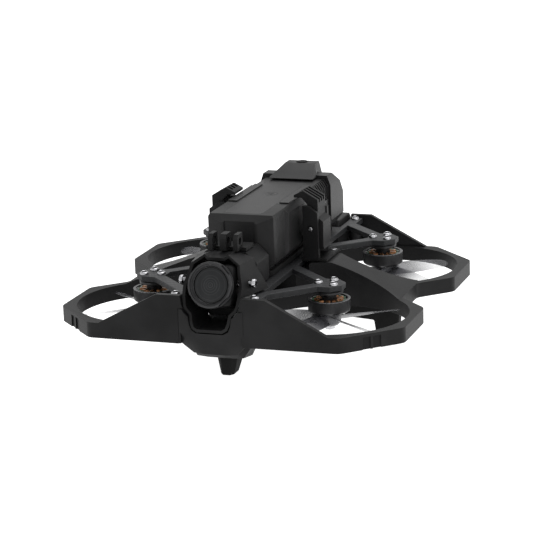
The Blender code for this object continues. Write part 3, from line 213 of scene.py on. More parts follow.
class Sheet:
    """A material's nodes, with one Principled shader."""

    def __init__(self, name: str) -> None:
        """Start a material.

        Args:
            name: Name of the material.
        """
        self.material = bpy.data.materials.new(name)
        self.material.use_nodes = True
        self.tree = self.material.node_tree
        self.shader = self.tree.nodes["Principled BSDF"]

    def connect(self, socket: bpy.types.NodeSocket, value: object) -> None:
        """Link a value to a socket, or set the socket to a constant.

        Args:
            socket: Input to feed.
            value: Value, number, vector or colour.
        """
        if isinstance(value, Value):
            self.tree.links.new(value.socket, socket)
        else:
            socket.default_value = value

    def node(
        self,
        kind: str,
        settings: dict[str, object] | None = None,
        sockets: dict[int | str, object] | None = None,
        output: int | str = 0,
    ) -> Value:
        """Add a node.

        Args:
            kind: Blender's type of the node.
            settings: Its properties, set first; stops is a ramp's list of (place, colour).
            sockets: Values or constants of its inputs.
            output: Output to return.

        Returns:
            The output as a value.
        """
        made = self.tree.nodes.new(kind)
        for key, setting in (settings or {}).items():
            if key == "stops":
                self._stops(made.color_ramp, setting)
            else:
                setattr(made, key, setting)
        for key, value in (sockets or {}).items():
            self.connect(made.inputs[key], value)
        return Value(self, made.outputs[output])

    @staticmethod
    def _stops(ramp: bpy.types.ColorRamp, stops: Sequence[tuple[float, tuple]]) -> None:
        """Set a colour ramp.

        Args:
            ramp: Ramp with its two first stops.
            stops: Places and colours, from low to high.
        """
        while len(ramp.elements) < len(stops):
            ramp.elements.new(1.0)
        for element, (place, colour) in zip(ramp.elements, stops):
            element.position = place
            element.color = (*colour, 1.0)

    def position(self, centre: Vector = Vector(), turn: tuple[float, float, float] = (0, 0, 0)) -> Value:
        """Object coordinates, moved to a centre and turned.

        Args:
            centre: Point that becomes the origin of the pattern.
            turn: Rotation of the pattern about X, Y and Z.

        Returns:
            The coordinates.
        """
        place = self.node("ShaderNodeTexCoord", output="Object")
        sockets = {"Vector": place, "Location": tuple(centre), "Rotation": turn}
        return self.node("ShaderNodeMapping", {"vector_type": "TEXTURE"}, sockets)

    def axes(self, position: Value) -> tuple[Value, Value, Value]:
        """Split a vector into its three numbers.

        Args:
            position: Vector to split.

        Returns:
            Its X, Y and Z.
        """
        split = self.node("ShaderNodeSeparateXYZ", None, {0: position}).socket.node
        return tuple(Value(self, output) for output in split.outputs)

    def stretched(self, position: Value, factors: Sequence[float]) -> Value:
        """Coordinates multiplied along each axis."""
        sockets = {0: position, 1: factors}
        return self.node("ShaderNodeVectorMath", {"operation": "MULTIPLY"}, sockets)

    def noise(self, position: Value, scale: float, detail: float = 2.0, roughness: float = 0.5) -> Value:
        """Cloudy variation.

        Args:
            position: Coordinates to read.
            scale: Clouds per metre.
            detail: Octaves added to the first.
            roughness: Weight of the finer octaves.

        Returns:
            A number around one half.
        """
        sockets = {"Vector": position, "Scale": scale, "Detail": detail, "Roughness": roughness}
        return self.node("ShaderNodeTexNoise", None, sockets)

    def mix(self, share: Value, low: Sequence[float] | Value, high: Sequence[float] | Value) -> Value:
        """Blend two colours.

        Args:
            share: Zero for the first colour, one for the second.
            low: First colour.
            high: Second colour.

        Returns:
            The blended colour.
        """
        pair = [c if isinstance(c, Value) else (*c, 1.0) for c in (low, high)]
        return self.node("ShaderNodeMix", {"data_type": "RGBA"}, {0: share, 6: pair[0], 7: pair[1]}, 2)

    def bump(self, height: Value, depth: float, strength: float = 1.0) -> None:
        """Feed a height to the shader's normal.

        Args:
            height: Height from zero to one.
            depth: Depth in metres of one unit of height.
            strength: Share of the bump that shows.
        """
        sockets = {"Height": height, "Distance": depth, "Strength": strength}
        self.set(Normal=self.node("ShaderNodeBump", None, sockets))

    def edges(self, soft: float = 0.03) -> Value:
        """Convex edges of the piece.

        Args:
            soft: How far above a flat face's value an edge counts in full.

        Returns:
            One on edges and zero on flat faces.
        """
        point = self.node("ShaderNodeNewGeometry", output="Pointiness")
        return point.within(0.505, 0.505 + soft)

    def set(self, **sockets: object) -> None:
        """Set or link the shader's sockets, with _ for each space in a name."""
        for name, value in sockets.items():
            self.connect(self.shader.inputs[name.replace("_", " ")], value)


def tinted(shade: Sequence[float], factor: float, lift: float = 0.0) -> tuple[float, ...]:
    """Colour made lighter or darker, each channel at most one."""
    return tuple(min(1.0, channel * factor + lift) for channel in shade)


@dataclass(frozen=True)
class Moulding:
    """Plastic or rubber from a spark-eroded mould; its edges are paler, partly from wear and partly as a
    painted highlight.
    """

    name: str
    shade: tuple[float, float, float]
    roughness: float
    gloss: float = 0.22
    grain: float = 0.35 * MM
    depth: float = 0.035 * MM
    wear: float = 0.5

    def material(self) -> bpy.types.Material:
        """Material with fine grain, soft mottling, and edges painted paler as wear and as a highlight."""
        sheet = Sheet(self.name)
        place = sheet.position()
        grain = sheet.noise(place, 1 / self.grain, 3.0, 0.6)
        cloud = sheet.noise(place, 1 / (14 * MM), 3.0)
        pale = tinted(self.shade, 2.1, 0.004)
        dark = tinted(self.shade, 0.82)
        body = sheet.mix(cloud.within(0.3, 0.7), dark, self.shade)
        body = sheet.mix(grain.within(0.55, 0.8) * 0.35, body, pale)
        # Convex edges are lightened in patches: partly wear, partly a painted highlight of the rounded edges.
        edge = sheet.edges() * cloud.within(0.2, 0.8) * self.wear
        sheet.set(Base_Color=sheet.mix(edge, body, pale))
        sheet.set(Roughness=self.roughness + (cloud - 0.5) * 0.16 - edge * 0.12)
        sheet.set(Specular_IOR_Level=self.gloss)
        sheet.bump(grain + cloud * 0.6, self.depth)
        return sheet.material


@dataclass(frozen=True)
class WovenPlate:
    """Twill of dark fibre tows under a satin resin."""

    name: str
    tow: float = 1.1 * MM
    warp: tuple[float, float, float] = (0.016, 0.0165, 0.0175)
    weft: tuple[float, float, float] = (0.011, 0.0115, 0.012)
    metallic: float = 0.1

    def material(self) -> bpy.types.Material:
        """Material whose two tow directions differ in tone and gloss."""
        sheet = Sheet(self.name)
        place = sheet.position(turn=(0, 0, math.pi / 4))
        x, y, _ = sheet.axes(place)
        across, along = x / self.tow, y / self.tow
        over = (across.floor() + along.floor()) % 4.0 < 1.5
        strand = sheet.noise(place, 1 / (0.25 * MM), 2.0)
        crown_x = 1 - (across.fraction() * 2 - 1) ** 2.0
        crown_y = 1 - (along.fraction() * 2 - 1) ** 2.0
        height = over * crown_y + (1 - over) * crown_x
        cloud = sheet.noise(place, 1 / (20 * MM), 3.0)
        tone = sheet.mix(over, self.weft, self.warp)
        pale = tinted(self.warp, 1.6)
        # Convex edges are painted paler as a highlight; the strand flecks are the weave's own tone.
        tone = sheet.mix(strand.within(0.5, 0.8) * 0.4 + sheet.edges() * 0.5, tone, pale)
        sheet.set(Base_Color=tone, Roughness=0.46 + over * 0.08 + (cloud - 0.5) * 0.15)
        sheet.set(Metallic=self.metallic, Specular_IOR_Level=0.22)
        sheet.bump(height * 0.7 + strand * 0.3, 0.03 * MM)
        return sheet.material


@dataclass(frozen=True)
class TurnedMetal:
    """Bare, plated or anodised metal with fine tool marks about an axis."""

    name: str
    shade: tuple[float, float, float]
    roughness: float
    metallic: float = 1.0
    marks: float = 0.12 * MM
    stain: float = 0.75

    def material(self) -> bpy.types.Material:
        """Material with tool marks, small stains and edges painted bright as a highlight."""
        sheet = Sheet(self.name)
        place = sheet.position()
        stretch = sheet.stretched(place, (0.15, 0.15, 1.0))
        lines = sheet.noise(stretch, 1 / self.marks, 2.0)
        cloud = sheet.noise(place, 1 / (3 * MM), 4.0, 0.6)
        stained = tinted(self.shade, self.stain)
        pale = tinted(self.shade, 1.35, 0.01)
        tone = sheet.mix(cloud.within(0.35, 0.65), stained, self.shade)
        # Convex edges are painted paler as a highlight.
        sheet.set(Base_Color=sheet.mix(sheet.edges(), tone, pale), Metallic=self.metallic)
        sheet.set(Roughness=self.roughness + (lines - 0.5) * 0.18 + (cloud - 0.5) * 0.12)
        sheet.bump(lines, 0.012 * MM)
        return sheet.material


@dataclass(frozen=True)
class EnamelWire:
    """Copper magnet wire under a clear enamel."""

    name: str
    shade: tuple[float, float, float] = (0.36, 0.16, 0.065)

    def material(self) -> bpy.types.Material:
        """Material with a darker, uneven enamel."""
        sheet = Sheet(self.name)
        place = sheet.position()
        cloud = sheet.noise(place, 1 / (0.9 * MM), 3.0)
        dark = tinted(self.shade, 0.45)
        sheet.set(Base_Color=sheet.mix(cloud.within(0.35, 0.6), dark, self.shade))
        sheet.set(Roughness=0.24 + cloud * 0.2, Metallic=0.9)
        sheet.set(Coat_Weight=0.5, Coat_Roughness=0.15)
        sheet.bump(cloud, 0.02 * MM)
        return sheet.material


@dataclass(frozen=True)
class SmokedPlastic:
    """Clear plastic with a grey tint; the span attribute runs from hub to tip."""

    name: str
    shade: tuple[float, float, float] = (0.05, 0.05, 0.055)
    root: float = 0.96
    tip: float = 0.30

    def material(self) -> bpy.types.Material:
        """Material that lets more light through towards the thin tips."""
        sheet = Sheet(self.name)
        place = sheet.position()
        span = sheet.node("ShaderNodeAttribute", {"attribute_name": "span"}, output="Fac")
        flow = sheet.noise(place, 1 / (6 * MM), 3.0)
        grain = sheet.noise(place, 1 / (0.5 * MM), 2.0)
        pale = tinted(self.shade, 2.4)
        sheet.set(Base_Color=sheet.mix(flow.within(0.3, 0.7) * 0.6, self.shade, pale))
        sheet.set(Roughness=0.28 + (flow - 0.5) * 0.2)
        fade = span.within(0.15, 0.85)
        sheet.set(Alpha=self.root + fade * (self.tip - self.root) + (flow - 0.5) * 0.08)
        sheet.bump(grain, 0.01 * MM)
        return sheet.material


@dataclass(frozen=True)
class CircuitBoard:
    """Solder mask with copper traces and plated holes."""

    name: str
    mask: tuple[float, float, float] = (0.008, 0.032, 0.020)
    trace: tuple[float, float, float] = (0.020, 0.075, 0.042)
    pad: tuple[float, float, float] = (0.55, 0.40, 0.16)

    def material(self) -> bpy.types.Material:
        """Material with traces along cell borders and gold pads in the cells."""
        sheet = Sheet(self.name)
        place = sheet.position()
        cell = {"Vector": place, "Scale": 1 / (2.2 * MM), "Randomness": 0.55}
        border = sheet.node("ShaderNodeTexVoronoi", {"feature": "DISTANCE_TO_EDGE"}, cell)
        centre = sheet.node("ShaderNodeTexVoronoi", {"distance": "CHEBYCHEV"}, cell)
        cloud = sheet.noise(place, 1 / (5 * MM), 3.0)
        tone = sheet.mix(border < 0.07, self.mask, self.trace)
        pad = centre < 0.13
        sheet.set(Base_Color=sheet.mix(pad, tone, self.pad), Metallic=pad * 0.9)
        sheet.set(Roughness=0.42 - pad * 0.12 + (cloud - 0.5) * 0.15)
        sheet.bump((border < 0.07) + pad, 0.03 * MM)
        return sheet.material


@dataclass(frozen=True)
class ShrinkWrap:
    """Film shrunk over a cell or a module, with fine creases."""

    name: str
    shade: tuple[float, float, float] = (0.16, 0.17, 0.19)
    metallic: float = 0.5

    def material(self) -> bpy.types.Material:
        """Material with creases that run across the piece."""
        sheet = Sheet(self.name)
        place = sheet.position()
        long = sheet.stretched(place, (1.0, 0.25, 1.0))
        crease = sheet.noise(long, 1 / (2 * MM), 5.0, 0.65)
        pale = tinted(self.shade, 1.5)
        sheet.set(Base_Color=sheet.mix(crease.within(0.35, 0.65), self.shade, pale))
        sheet.set(Metallic=self.metallic, Roughness=0.34 + (crease - 0.5) * 0.3)
        sheet.bump(crease, 0.12 * MM)
        return sheet.material


@dataclass(frozen=True)
class LensCoating:
    """Dark glass with painted reflections: faint bright rings about the lens axis and a small bright spot on
    it.
    """

    name: str
    centre: Vector
    lean: float
    # Radius in millimetres and strength of each painted reflection ring.
    rings: tuple[tuple[float, float], ...] = ((1.0, 0.8), (1.9, 0.55), (2.9, 0.7), (4.0, 0.5), (6.2, 0.4))

    def material(self) -> bpy.types.Material:
        """Material with painted reflection rings that fade towards a dark pupil."""
        sheet = Sheet(self.name)
        place = sheet.position(self.centre, (math.pi / 2 - self.lean, 0, 0))
        x, y, _ = sheet.axes(place)
        reach = (x ** 2.0 + y ** 2.0) ** 0.5
        # Painted reflections: a small bright spot on the axis, then bright rings at the listed radii.
        line = 1 - reach.within(0.1 * MM, 0.3 * MM)
        for radius, weight in self.rings:
            off = (reach - radius * MM).maths("ABSOLUTE")
            line = line + weight * (1 - off.within(0.06 * MM, 0.2 * MM))
        cloud = sheet.noise(place, 1 / (4 * MM), 2.0)
        share = line * 0.45 + cloud * 0.25
        sheet.set(Base_Color=sheet.mix(share, (0.0035, 0.0040, 0.0048), (0.045, 0.047, 0.048)))
        sheet.set(Roughness=0.14 + cloud * 0.10, Specular_IOR_Level=0.22)
        sheet.bump(line, 0.02 * MM)
        return sheet.material


@dataclass(frozen=True)
class StudioPaper:
    """Pale, matt sweep that the drone stands on."""

    name: str = "studio_paper"
    shade: tuple[float, float, float] = (0.45, 0.45, 0.45)
    glow: float = 0.95

    def material(self) -> bpy.types.Material:
        """Material with a barely uneven white and a soft glow of its own."""
        sheet = Sheet(self.name)
        cloud = sheet.noise(sheet.position(), 2.0, 2.0)
        darker = tinted(self.shade, 0.995)
        sheet.set(Base_Color=sheet.mix(cloud, darker, self.shade))
        sheet.set(Roughness=0.9, Specular_IOR_Level=0.0)
        sheet.set(Emission_Color=(1, 1, 1, 1), Emission_Strength=self.glow)
        return sheet.material


@dataclass
class Finishes:
    """Every finish on the drone, each made once."""

    made: dict[str, bpy.types.Material] = field(default_factory=dict)

    def get(self, finish: object) -> bpy.types.Material:
        """Material of a finish.

        Args:
            finish: Finish with a name and a material method.

        Returns:
            The material, made on first use.
        """
        if finish.name not in self.made:
            self.made[finish.name] = finish.material()
        return self.made[finish.name]


FINISHES = Finishes()
SHELL = Moulding("shell_plastic", (0.0062, 0.0062, 0.0064), 0.50, gloss=0.11)
BATTERY = Moulding("battery_plastic", (0.0078, 0.0078, 0.0080), 0.44, 0.15, 0.45 * MM, 0.05 * MM)
RUBBER = Moulding("foot_rubber", (0.0062, 0.0062, 0.0062), 0.70, gloss=0.10, wear=0.25)
PLATE = WovenPlate("woven_plate")
ANODISED = TurnedMetal("anodised_bell", (0.020, 0.020, 0.021), 0.34, 0.75, stain=0.9)
LIP = TurnedMetal("turned_lip", (0.13, 0.13, 0.135), 0.30)
STEEL = TurnedMetal("plated_steel", (0.30, 0.30, 0.31), 0.22, stain=0.4)
DARK_STEEL = TurnedMetal("oxide_steel", (0.09, 0.09, 0.095), 0.34)
MAGNET = TurnedMetal("nickel_magnet", (0.32, 0.31, 0.30), 0.24)
WIRE = EnamelWire("enamel_wire")
VARNISH = Moulding("slot_insulation", (0.010, 0.050, 0.020), 0.45, gloss=0.4, wear=0.3)
BLADE = SmokedPlastic("smoked_blade")
BOARD = CircuitBoard("circuit_board")
CHIP = Moulding("chip_resin", (0.012, 0.012, 0.013), 0.42, gloss=0.4, grain=0.15 * MM)
WRAP = ShrinkWrap("shrink_wrap")
PLUG = Moulding("plug_plastic", (0.48, 0.30, 0.02), 0.42, gloss=0.4, wear=0.3)


# ---------------------------------------------------------------- meshes


def to_mesh(work: bmesh.types.BMesh, name: str, outward: bool = True) -> bpy.types.Mesh:
    """Weld a bmesh and turn it into a mesh.

    Args:
        work: Faces to keep; it is freed.
        name: Name of the mesh.
        outward: Turn the faces outward.

    Returns:
        The mesh.
    """
    bmesh.ops.remove_doubles(work, verts=work.verts, dist=0.0005 * MM)
    if outward:
        bmesh.ops.recalc_face_normals(work, faces=work.faces)
    mesh = bpy.data.meshes.new(name)
    work.to_mesh(mesh)
    work.free()
    return mesh


def merged(meshes: Sequence[bpy.types.Mesh], name: str = "merged") -> bpy.types.Mesh:
    """Put several meshes in one.

    Args:
        meshes: Meshes to take; they are removed.
        name: Name of the result.

    Returns:
        The mesh.
    """
    work = bmesh.new()
    for mesh in meshes:
        work.from_mesh(mesh)
        bpy.data.meshes.remove(mesh)
    result = bpy.data.meshes.new(name)
    work.to_mesh(result)
    work.free()
    return result


def box(low: Sequence[float], high: Sequence[float]) -> bpy.types.Mesh:
    """Block between two opposite corners.

    Args:
        low: Lowest corner.
        high: Highest corner.

    Returns:
        The mesh.
    """
    work = bmesh.new()
    size = Vector(high) - Vector(low)
    middle = Matrix.Translation((Vector(high) + Vector(low)) / 2)
    bmesh.ops.create_cube(work, size=1.0, matrix=middle @ Matrix.Diagonal((*size, 1.0)))
    return to_mesh(work, "block")


def prism(outline: Outline, plane: Plane, low: float, high: float) -> bpy.types.Mesh:
    """Sweep of a flat outline.

    Args:
        outline: Corners in order.
        plane: Plane of the outline.
        low: Start of the sweep.
        high: End of the sweep.

    Returns:
        The closed mesh.
    """
    work = bmesh.new()
    rings = [[work.verts.new((u, v, level)) for u, v in outline] for level in (low, high)]
    for index in range(len(outline)):
        after = (index + 1) % len(outline)
        work.faces.new((rings[0][index], rings[0][after], rings[1][after], rings[1][index]))
    for ring in rings:
        work.faces.new(ring)
    mesh = to_mesh(work, "prism", outward=False)
    mesh.transform(plane.value)
    work = bmesh.new()
    work.from_mesh(mesh)
    bpy.data.meshes.remove(mesh)
    return to_mesh(work, "prism")


def turned(profile: Outline, place: Matrix, steps: int = 64, whole: bool = True) -> bpy.types.Mesh:
    """Shape turned about an axis.

    Args:
        profile: Radius and height of each point, in order.
        place: Where the axis and its foot go.
        steps: Faces around.
        whole: The profile is a ring; otherwise it starts and ends on the axis.

    Returns:
        The closed mesh.
    """
    work = bmesh.new()
    rings = []
    for radius, height in profile:
        if radius < 1e-7:
            rings.append([work.verts.new((0, 0, height))])
            continue
        angles = [FULL_TURN * step / steps for step in range(steps)]
        ring = [(radius * math.cos(a), radius * math.sin(a), height) for a in angles]
        rings.append([work.verts.new(point) for point in ring])
    pairs = list(zip(rings, rings[1:]))
    if whole:
        pairs.append((rings[-1], rings[0]))
    for ring, following in pairs:
        for step in range(steps):
            after = (step + 1) % steps
            corners = [ring[step % len(ring)], ring[after % len(ring)]]
            corners += [following[after % len(following)], following[step % len(following)]]
            corners = list(dict.fromkeys(corners))
            if len(corners) > 2:
                work.faces.new(corners)
    mesh = to_mesh(work, "turned")
    mesh.transform(place)
    return mesh


def loft(sections: Sequence[Sequence[Sequence[float]]]) -> bpy.types.Mesh:
    """Closed skin through rings of points.

    Args:
        sections: Rings with the same number of points.

    Returns:
        The mesh.
    """
    work = bmesh.new()
    rings = [[work.verts.new(point) for point in ring] for ring in sections]
    count = len(rings[0])
    for ring, following in zip(rings, rings[1:]):
        for index in range(count):
            after = (index + 1) % count
            work.faces.new((ring[index], ring[after], following[after], following[index]))
    work.faces.new(rings[0])
    work.faces.new(rings[-1])
    return to_mesh(work, "loft")


def tube(path: Sequence[Vector], radius: float, sides: int = 8, closed: bool = False) -> bpy.types.Mesh:
    """Round wire along a path.

    Args:
        path: Points of the centre line.
        radius: Radius of the wire.
        sides: Faces around it.
        closed: The path comes back to its start.

    Returns:
        The closed mesh.
    """
    work = bmesh.new()
    rings = []
    count = len(path)
    for index, point in enumerate(path):
        before = path[index - 1] if closed or index else path[0]
        after = path[(index + 1) % count] if closed or index < count - 1 else path[-1]
        along = (Vector(after) - Vector(before)).normalized()
        turn = along.to_track_quat("Z", "Y").to_matrix()
        angles = [FULL_TURN * side / sides for side in range(sides)]
        ring = [turn @ Vector((math.cos(a), math.sin(a), 0)) * radius + Vector(point) for a in angles]
        rings.append([work.verts.new(corner) for corner in ring])
    pairs = list(zip(rings, rings[1:]))
    if closed:
        pairs.append((rings[-1], rings[0]))
    for ring, following in pairs:
        shift = min(range(sides), key=lambda s: (following[s].co - ring[0].co).length)
        for side in range(sides):
            after = (side + 1) % sides
            near, far = following[(side + shift) % sides], following[(after + shift) % sides]
            work.faces.new((ring[side], ring[after], far, near))
    if not closed:
        work.faces.new(rings[0])
        work.faces.new(rings[-1])
    return to_mesh(work, "tube")


def about(centre: Sequence[float], turn: float = 0.0, axis: str = "Z") -> Matrix:
    """Placement at a point, turned about one axis.

    Args:
        centre: Point to move to.
        turn: Angle in radians.
        axis: X, Y or Z.

    Returns:
        The matrix.
    """
    return Matrix.Translation(Vector(centre)) @ Matrix.Rotation(turn, 4, axis)


def settled(mesh: bpy.types.Mesh, *steps: Callable[[bpy.types.Object], None]) -> bpy.types.Mesh:
    """Mesh as it is after some modifiers.

    Args:
        mesh: Mesh to start from.
        steps: Functions that each add modifiers to an object.

    Returns:
        The plain mesh that results.
    """
    holder = bpy.data.objects.new("holder", mesh)
    bpy.context.scene.collection.objects.link(holder)
    for step in steps:
        step(holder)
    evaluated = holder.evaluated_get(bpy.context.evaluated_depsgraph_get())
    result = bpy.data.meshes.new_from_object(evaluated)
    bpy.data.objects.remove(holder)
    return result


def shaped(mesh: bpy.types.Mesh, operation: str, *tools: bpy.types.Mesh) -> bpy.types.Mesh:
    """Cut a mesh with others, or join them to it.

    Args:
        mesh: Closed mesh to change.
        operation: DIFFERENCE, UNION or INTERSECT.
        tools: Closed meshes; they are removed.

    Returns:
        The new mesh.
    """
    holders = [bpy.data.objects.new("tool", tool) for tool in tools]
    for holder in holders:
        bpy.context.scene.collection.objects.link(holder)

    def add_booleans(piece: bpy.types.Object) -> None:
        """Add one exact Boolean for each tool."""
        for holder in holders:
            modifier = piece.modifiers.new("shape", "BOOLEAN")
            modifier.operation = operation
            modifier.object = holder
            modifier.solver = "EXACT"

    result = settled(mesh, add_booleans)
    for holder in holders:
        bpy.data.objects.remove(holder)
    return result


def softened(mesh: bpy.types.Mesh, width: float, segments: int = 2, angle: float = 28.0) -> bpy.types.Mesh:
    """Round a mesh's edges and keep its flat faces flat.

    Args:
        mesh: Closed mesh.
        width: Width of the rounding.
        segments: Faces across it.
        angle: Least angle in degrees of an edge that is rounded.

    Returns:
        The new mesh.
    """
    work = bmesh.new()
    work.from_mesh(mesh)
    bmesh.ops.remove_doubles(work, verts=work.verts, dist=0.002 * MM)
    bmesh.ops.dissolve_limit(
        work, angle_limit=math.radians(0.6), verts=work.verts, edges=work.edges
    )
    work.to_mesh(mesh)
    work.free()

    def add_rounding(piece: bpy.types.Object) -> None:
        """Add the bevel and the weighted normals."""
        rounding = piece.modifiers.new("edges", "BEVEL")
        rounding.width = width
        rounding.segments = segments
        rounding.limit_method = "ANGLE"
        rounding.angle_limit = math.radians(angle)
        rounding.miter_outer = "MITER_ARC"
        rounding.use_clamp_overlap = True
        normals = piece.modifiers.new("normals", "WEIGHTED_NORMAL")
        normals.keep_sharp = True

    mesh.shade_smooth()
    return settled(mesh, add_rounding)


def cad_mesh(node: str) -> bpy.types.Mesh:
    """Welded copy of a frame node's mesh.

    Args:
        node: Name of the node.

    Returns:
        The mesh, in place.
    """
    work = bmesh.new()
    work.from_mesh(frame["nodes"][node].data)
    return to_mesh(work, node, outward=False)


@dataclass(frozen=True)
class Body:
    """Where a piece belongs: the body it rides on, and a slot name."""

    name: str
    slot: str

    def add(
        self,
        name: str,
        mesh: bpy.types.Mesh,
        finish: object,
        replaces: Sequence[str] = (),
        sharp: float = 34.0,
    ) -> bpy.types.Object:
        """Make a finished piece.

        Args:
            name: Name of the piece.
            mesh: Its mesh, in place.
            finish: Its finish.
            replaces: Frame nodes that it stands for.
            sharp: Angle in degrees past which an edge stays sharp.

        Returns:
            The piece.
        """
        piece = bpy.data.objects.new(name, mesh)
        bpy.context.scene.collection.objects.link(piece)
        mesh.materials.clear()
        mesh.materials.append(FINISHES.get(finish))
        for polygon in mesh.polygons:
            polygon.material_index = 0
        mesh.shade_smooth()
        mesh.set_sharp_from_angle(angle=math.radians(sharp))
        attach(piece, self.name)
        if replaces:
            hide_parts(*replaces)
        LOG.info("%s: %d faces on %s", name, len(mesh.polygons), self.name)
        return piece

    def dress(
        self, node: str, name: str, finish: object, width: float, segments: int = 2
    ) -> bpy.types.Object:
        """Make a piece from a frame node, with its edges rounded.

        Args:
            node: Frame node that the piece copies and replaces.
            name: Name of the piece.
            finish: Its finish.
            width: Width of the rounding.
            segments: Faces across it.

        Returns:
            The piece.
        """
        return self.add(name, softened(cad_mesh(node), width, segments), finish, [node])


FRAME_SHELL = Body("frame", "shell_black")
FRAME_STEEL = Body("frame", "steel")
FRAME_BATTERY = Body("frame", "battery_black")
FRAME_BOARD = Body("frame", "board")
FRAME_RUBBER = Body("frame", "rubber_black")
FRAME_WRAP = Body("frame", "cell_wrap")


# ---------------------------------------------------------------- repeating patterns


class Pattern:
    """Geometry Nodes tree with named inputs that repeats one shape."""

    def __init__(self, name: str, inputs: dict[str, str]) -> None:
        """Start a tree.

        Args:
            name: Name of the tree.
            inputs: Socket type of each named input besides the shape and its finish.
        """
        self.tree = bpy.data.node_groups.new(name, "GeometryNodeTree")
        face = self.tree.interface
        face.new_socket(name="Geometry", in_out="INPUT", socket_type="NodeSocketGeometry")
        inputs = {"Shape": "NodeSocketObject", "Finish": "NodeSocketMaterial", **inputs}
        self.ids = {
            label: face.new_socket(name=label, in_out="INPUT", socket_type=kind).identifier
            for label, kind in inputs.items()
        }
        face.new_socket(name="Geometry", in_out="OUTPUT", socket_type="NodeSocketGeometry")
        self.entry = self.tree.nodes.new("NodeGroupInput")

    def given(self, label: str) -> bpy.types.NodeSocket:
        """Named input as a socket that can be linked."""
        return self.entry.outputs[label]

    def node(
        self,
        kind: str,
        settings: dict[str, object] | None = None,
        sockets: dict[int | str, object] | None = None,
    ) -> bpy.types.Node:
        """Add a node.

        Args:
            kind: Blender's type of the node.
            settings: Its properties.
            sockets: Links or constants of its inputs.

        Returns:
            The node.
        """
        made = self.tree.nodes.new(kind)
        for key, setting in (settings or {}).items():
            setattr(made, key, setting)
        for key, value in (sockets or {}).items():
            if isinstance(value, bpy.types.NodeSocket):
                self.tree.links.new(value, made.inputs[key])
            else:
                made.inputs[key].default_value = value
        return made

    def copies(self, points: bpy.types.NodeSocket, **extra: object) -> bpy.types.NodeSocket:
        """Set the given shape on points.

        Args:
            points: Geometry with the points.
            extra: Rotation or scale of the copies.

        Returns:
            Geometry with the copies.
        """
        shape = self.node("GeometryNodeObjectInfo", None, {"Object": self.given("Shape")})
        sockets = {"Points": points, "Instance": shape.outputs["Geometry"], **extra}
        return self.node("GeometryNodeInstanceOnPoints", None, sockets).outputs[0]

    def close(self, instances: bpy.types.NodeSocket) -> None:
        """Make the copies real and give them their material.

        Args:
            instances: Geometry with the copies.
        """
        real = self.node("GeometryNodeRealizeInstances", None, {0: instances})
        sockets = {"Geometry": real.outputs[0], "Material": self.given("Finish")}
        dressed = self.node("GeometryNodeSetMaterial", None, sockets)
        leave = self.tree.nodes.new("NodeGroupOutput")
        self.tree.links.new(dressed.outputs[0], leave.inputs[0])

    def run(
        self,
        finish: object,
        shape: bpy.types.Mesh,
        base: bpy.types.Mesh | None = None,
        **values: object,
    ) -> bpy.types.Mesh:
        """Evaluate the tree.

        Args:
            finish: Finish of the copies.
            shape: Mesh to repeat; it is removed.
            base: Mesh that the tree starts from.
            values: Named inputs, with _ for each space.

        Returns:
            Plain mesh of all the copies.
        """
        template = bpy.data.objects.new("template", shape)
        given = {"Shape": template, "Finish": FINISHES.get(finish), **values}

        def add_tree(piece: bpy.types.Object) -> None:
            """Add the tree with its inputs set."""
            modifier = piece.modifiers.new("pattern", "NODES")
            modifier.node_group = self.tree
            for label, value in given.items():
                modifier[self.ids[label.replace("_", " ")]] = value

        result = settled(base or bpy.data.meshes.new("start"), add_tree)
        bpy.data.objects.remove(template)
        return result


def ring_pattern() -> Pattern:
    """Tree that sets a shape around the Z axis through a centre."""
    kinds = {"Count": "NodeSocketInt", "Start": "NodeSocketFloat", "Centre": "NodeSocketVector"}
    tree = Pattern("ring", kinds)
    points = tree.node("GeometryNodePoints", None, {"Count": tree.given("Count")})
    index = tree.node("GeometryNodeInputIndex")
    sockets = {0: index.outputs[0], 1: tree.given("Count")}
    share = tree.node("ShaderNodeMath", {"operation": "DIVIDE"}, sockets)
    turn = tree.node(
        "ShaderNodeMath",
        {"operation": "MULTIPLY_ADD"},
        {0: share.outputs[0], 1: FULL_TURN, 2: tree.given("Start")},
    )
    vector = tree.node("ShaderNodeCombineXYZ", None, {"Z": turn.outputs[0]})
    euler = tree.node("FunctionNodeEulerToRotation", None, {0: vector.outputs[0]})
    copies = tree.copies(points.outputs[0], Rotation=euler.outputs[0])
    moved = {"Geometry": copies, "Translation": tree.given("Centre")}
    tree.close(tree.node("GeometryNodeTransform", None, moved).outputs[0])
    return tree


def row_pattern() -> Pattern:
    """Tree that sets a shape along a straight row."""
    kinds = {"Count": "NodeSocketInt", "Start": "NodeSocketVector", "Step": "NodeSocketVector"}
    tree = Pattern("row", kinds)
    sockets = {"Count": tree.given("Count"), "Start Location": tree.given("Start")}
    sockets["Offset"] = tree.given("Step")
    line = tree.node("GeometryNodeMeshLine", {"mode": "OFFSET"}, sockets)
    tree.close(tree.copies(line.outputs[0]))
    return tree


def spot_pattern() -> Pattern:
    """Tree that sets a shape on each given point, each with its own turn."""
    tree = Pattern("spots", {"Seed": "NodeSocketInt"})
    sockets = {2: 0.0, 3: FULL_TURN, "Seed": tree.given("Seed")}
    turn = tree.node("FunctionNodeRandomValue", {"data_type": "FLOAT"}, sockets)
    vector = tree.node("ShaderNodeCombineXYZ", None, {"Z": turn.outputs[1]})
    euler = tree.node("FunctionNodeEulerToRotation", None, {0: vector.outputs[0]})
    tree.close(tree.copies(tree.given("Geometry"), Rotation=euler.outputs[0]))
    return tree


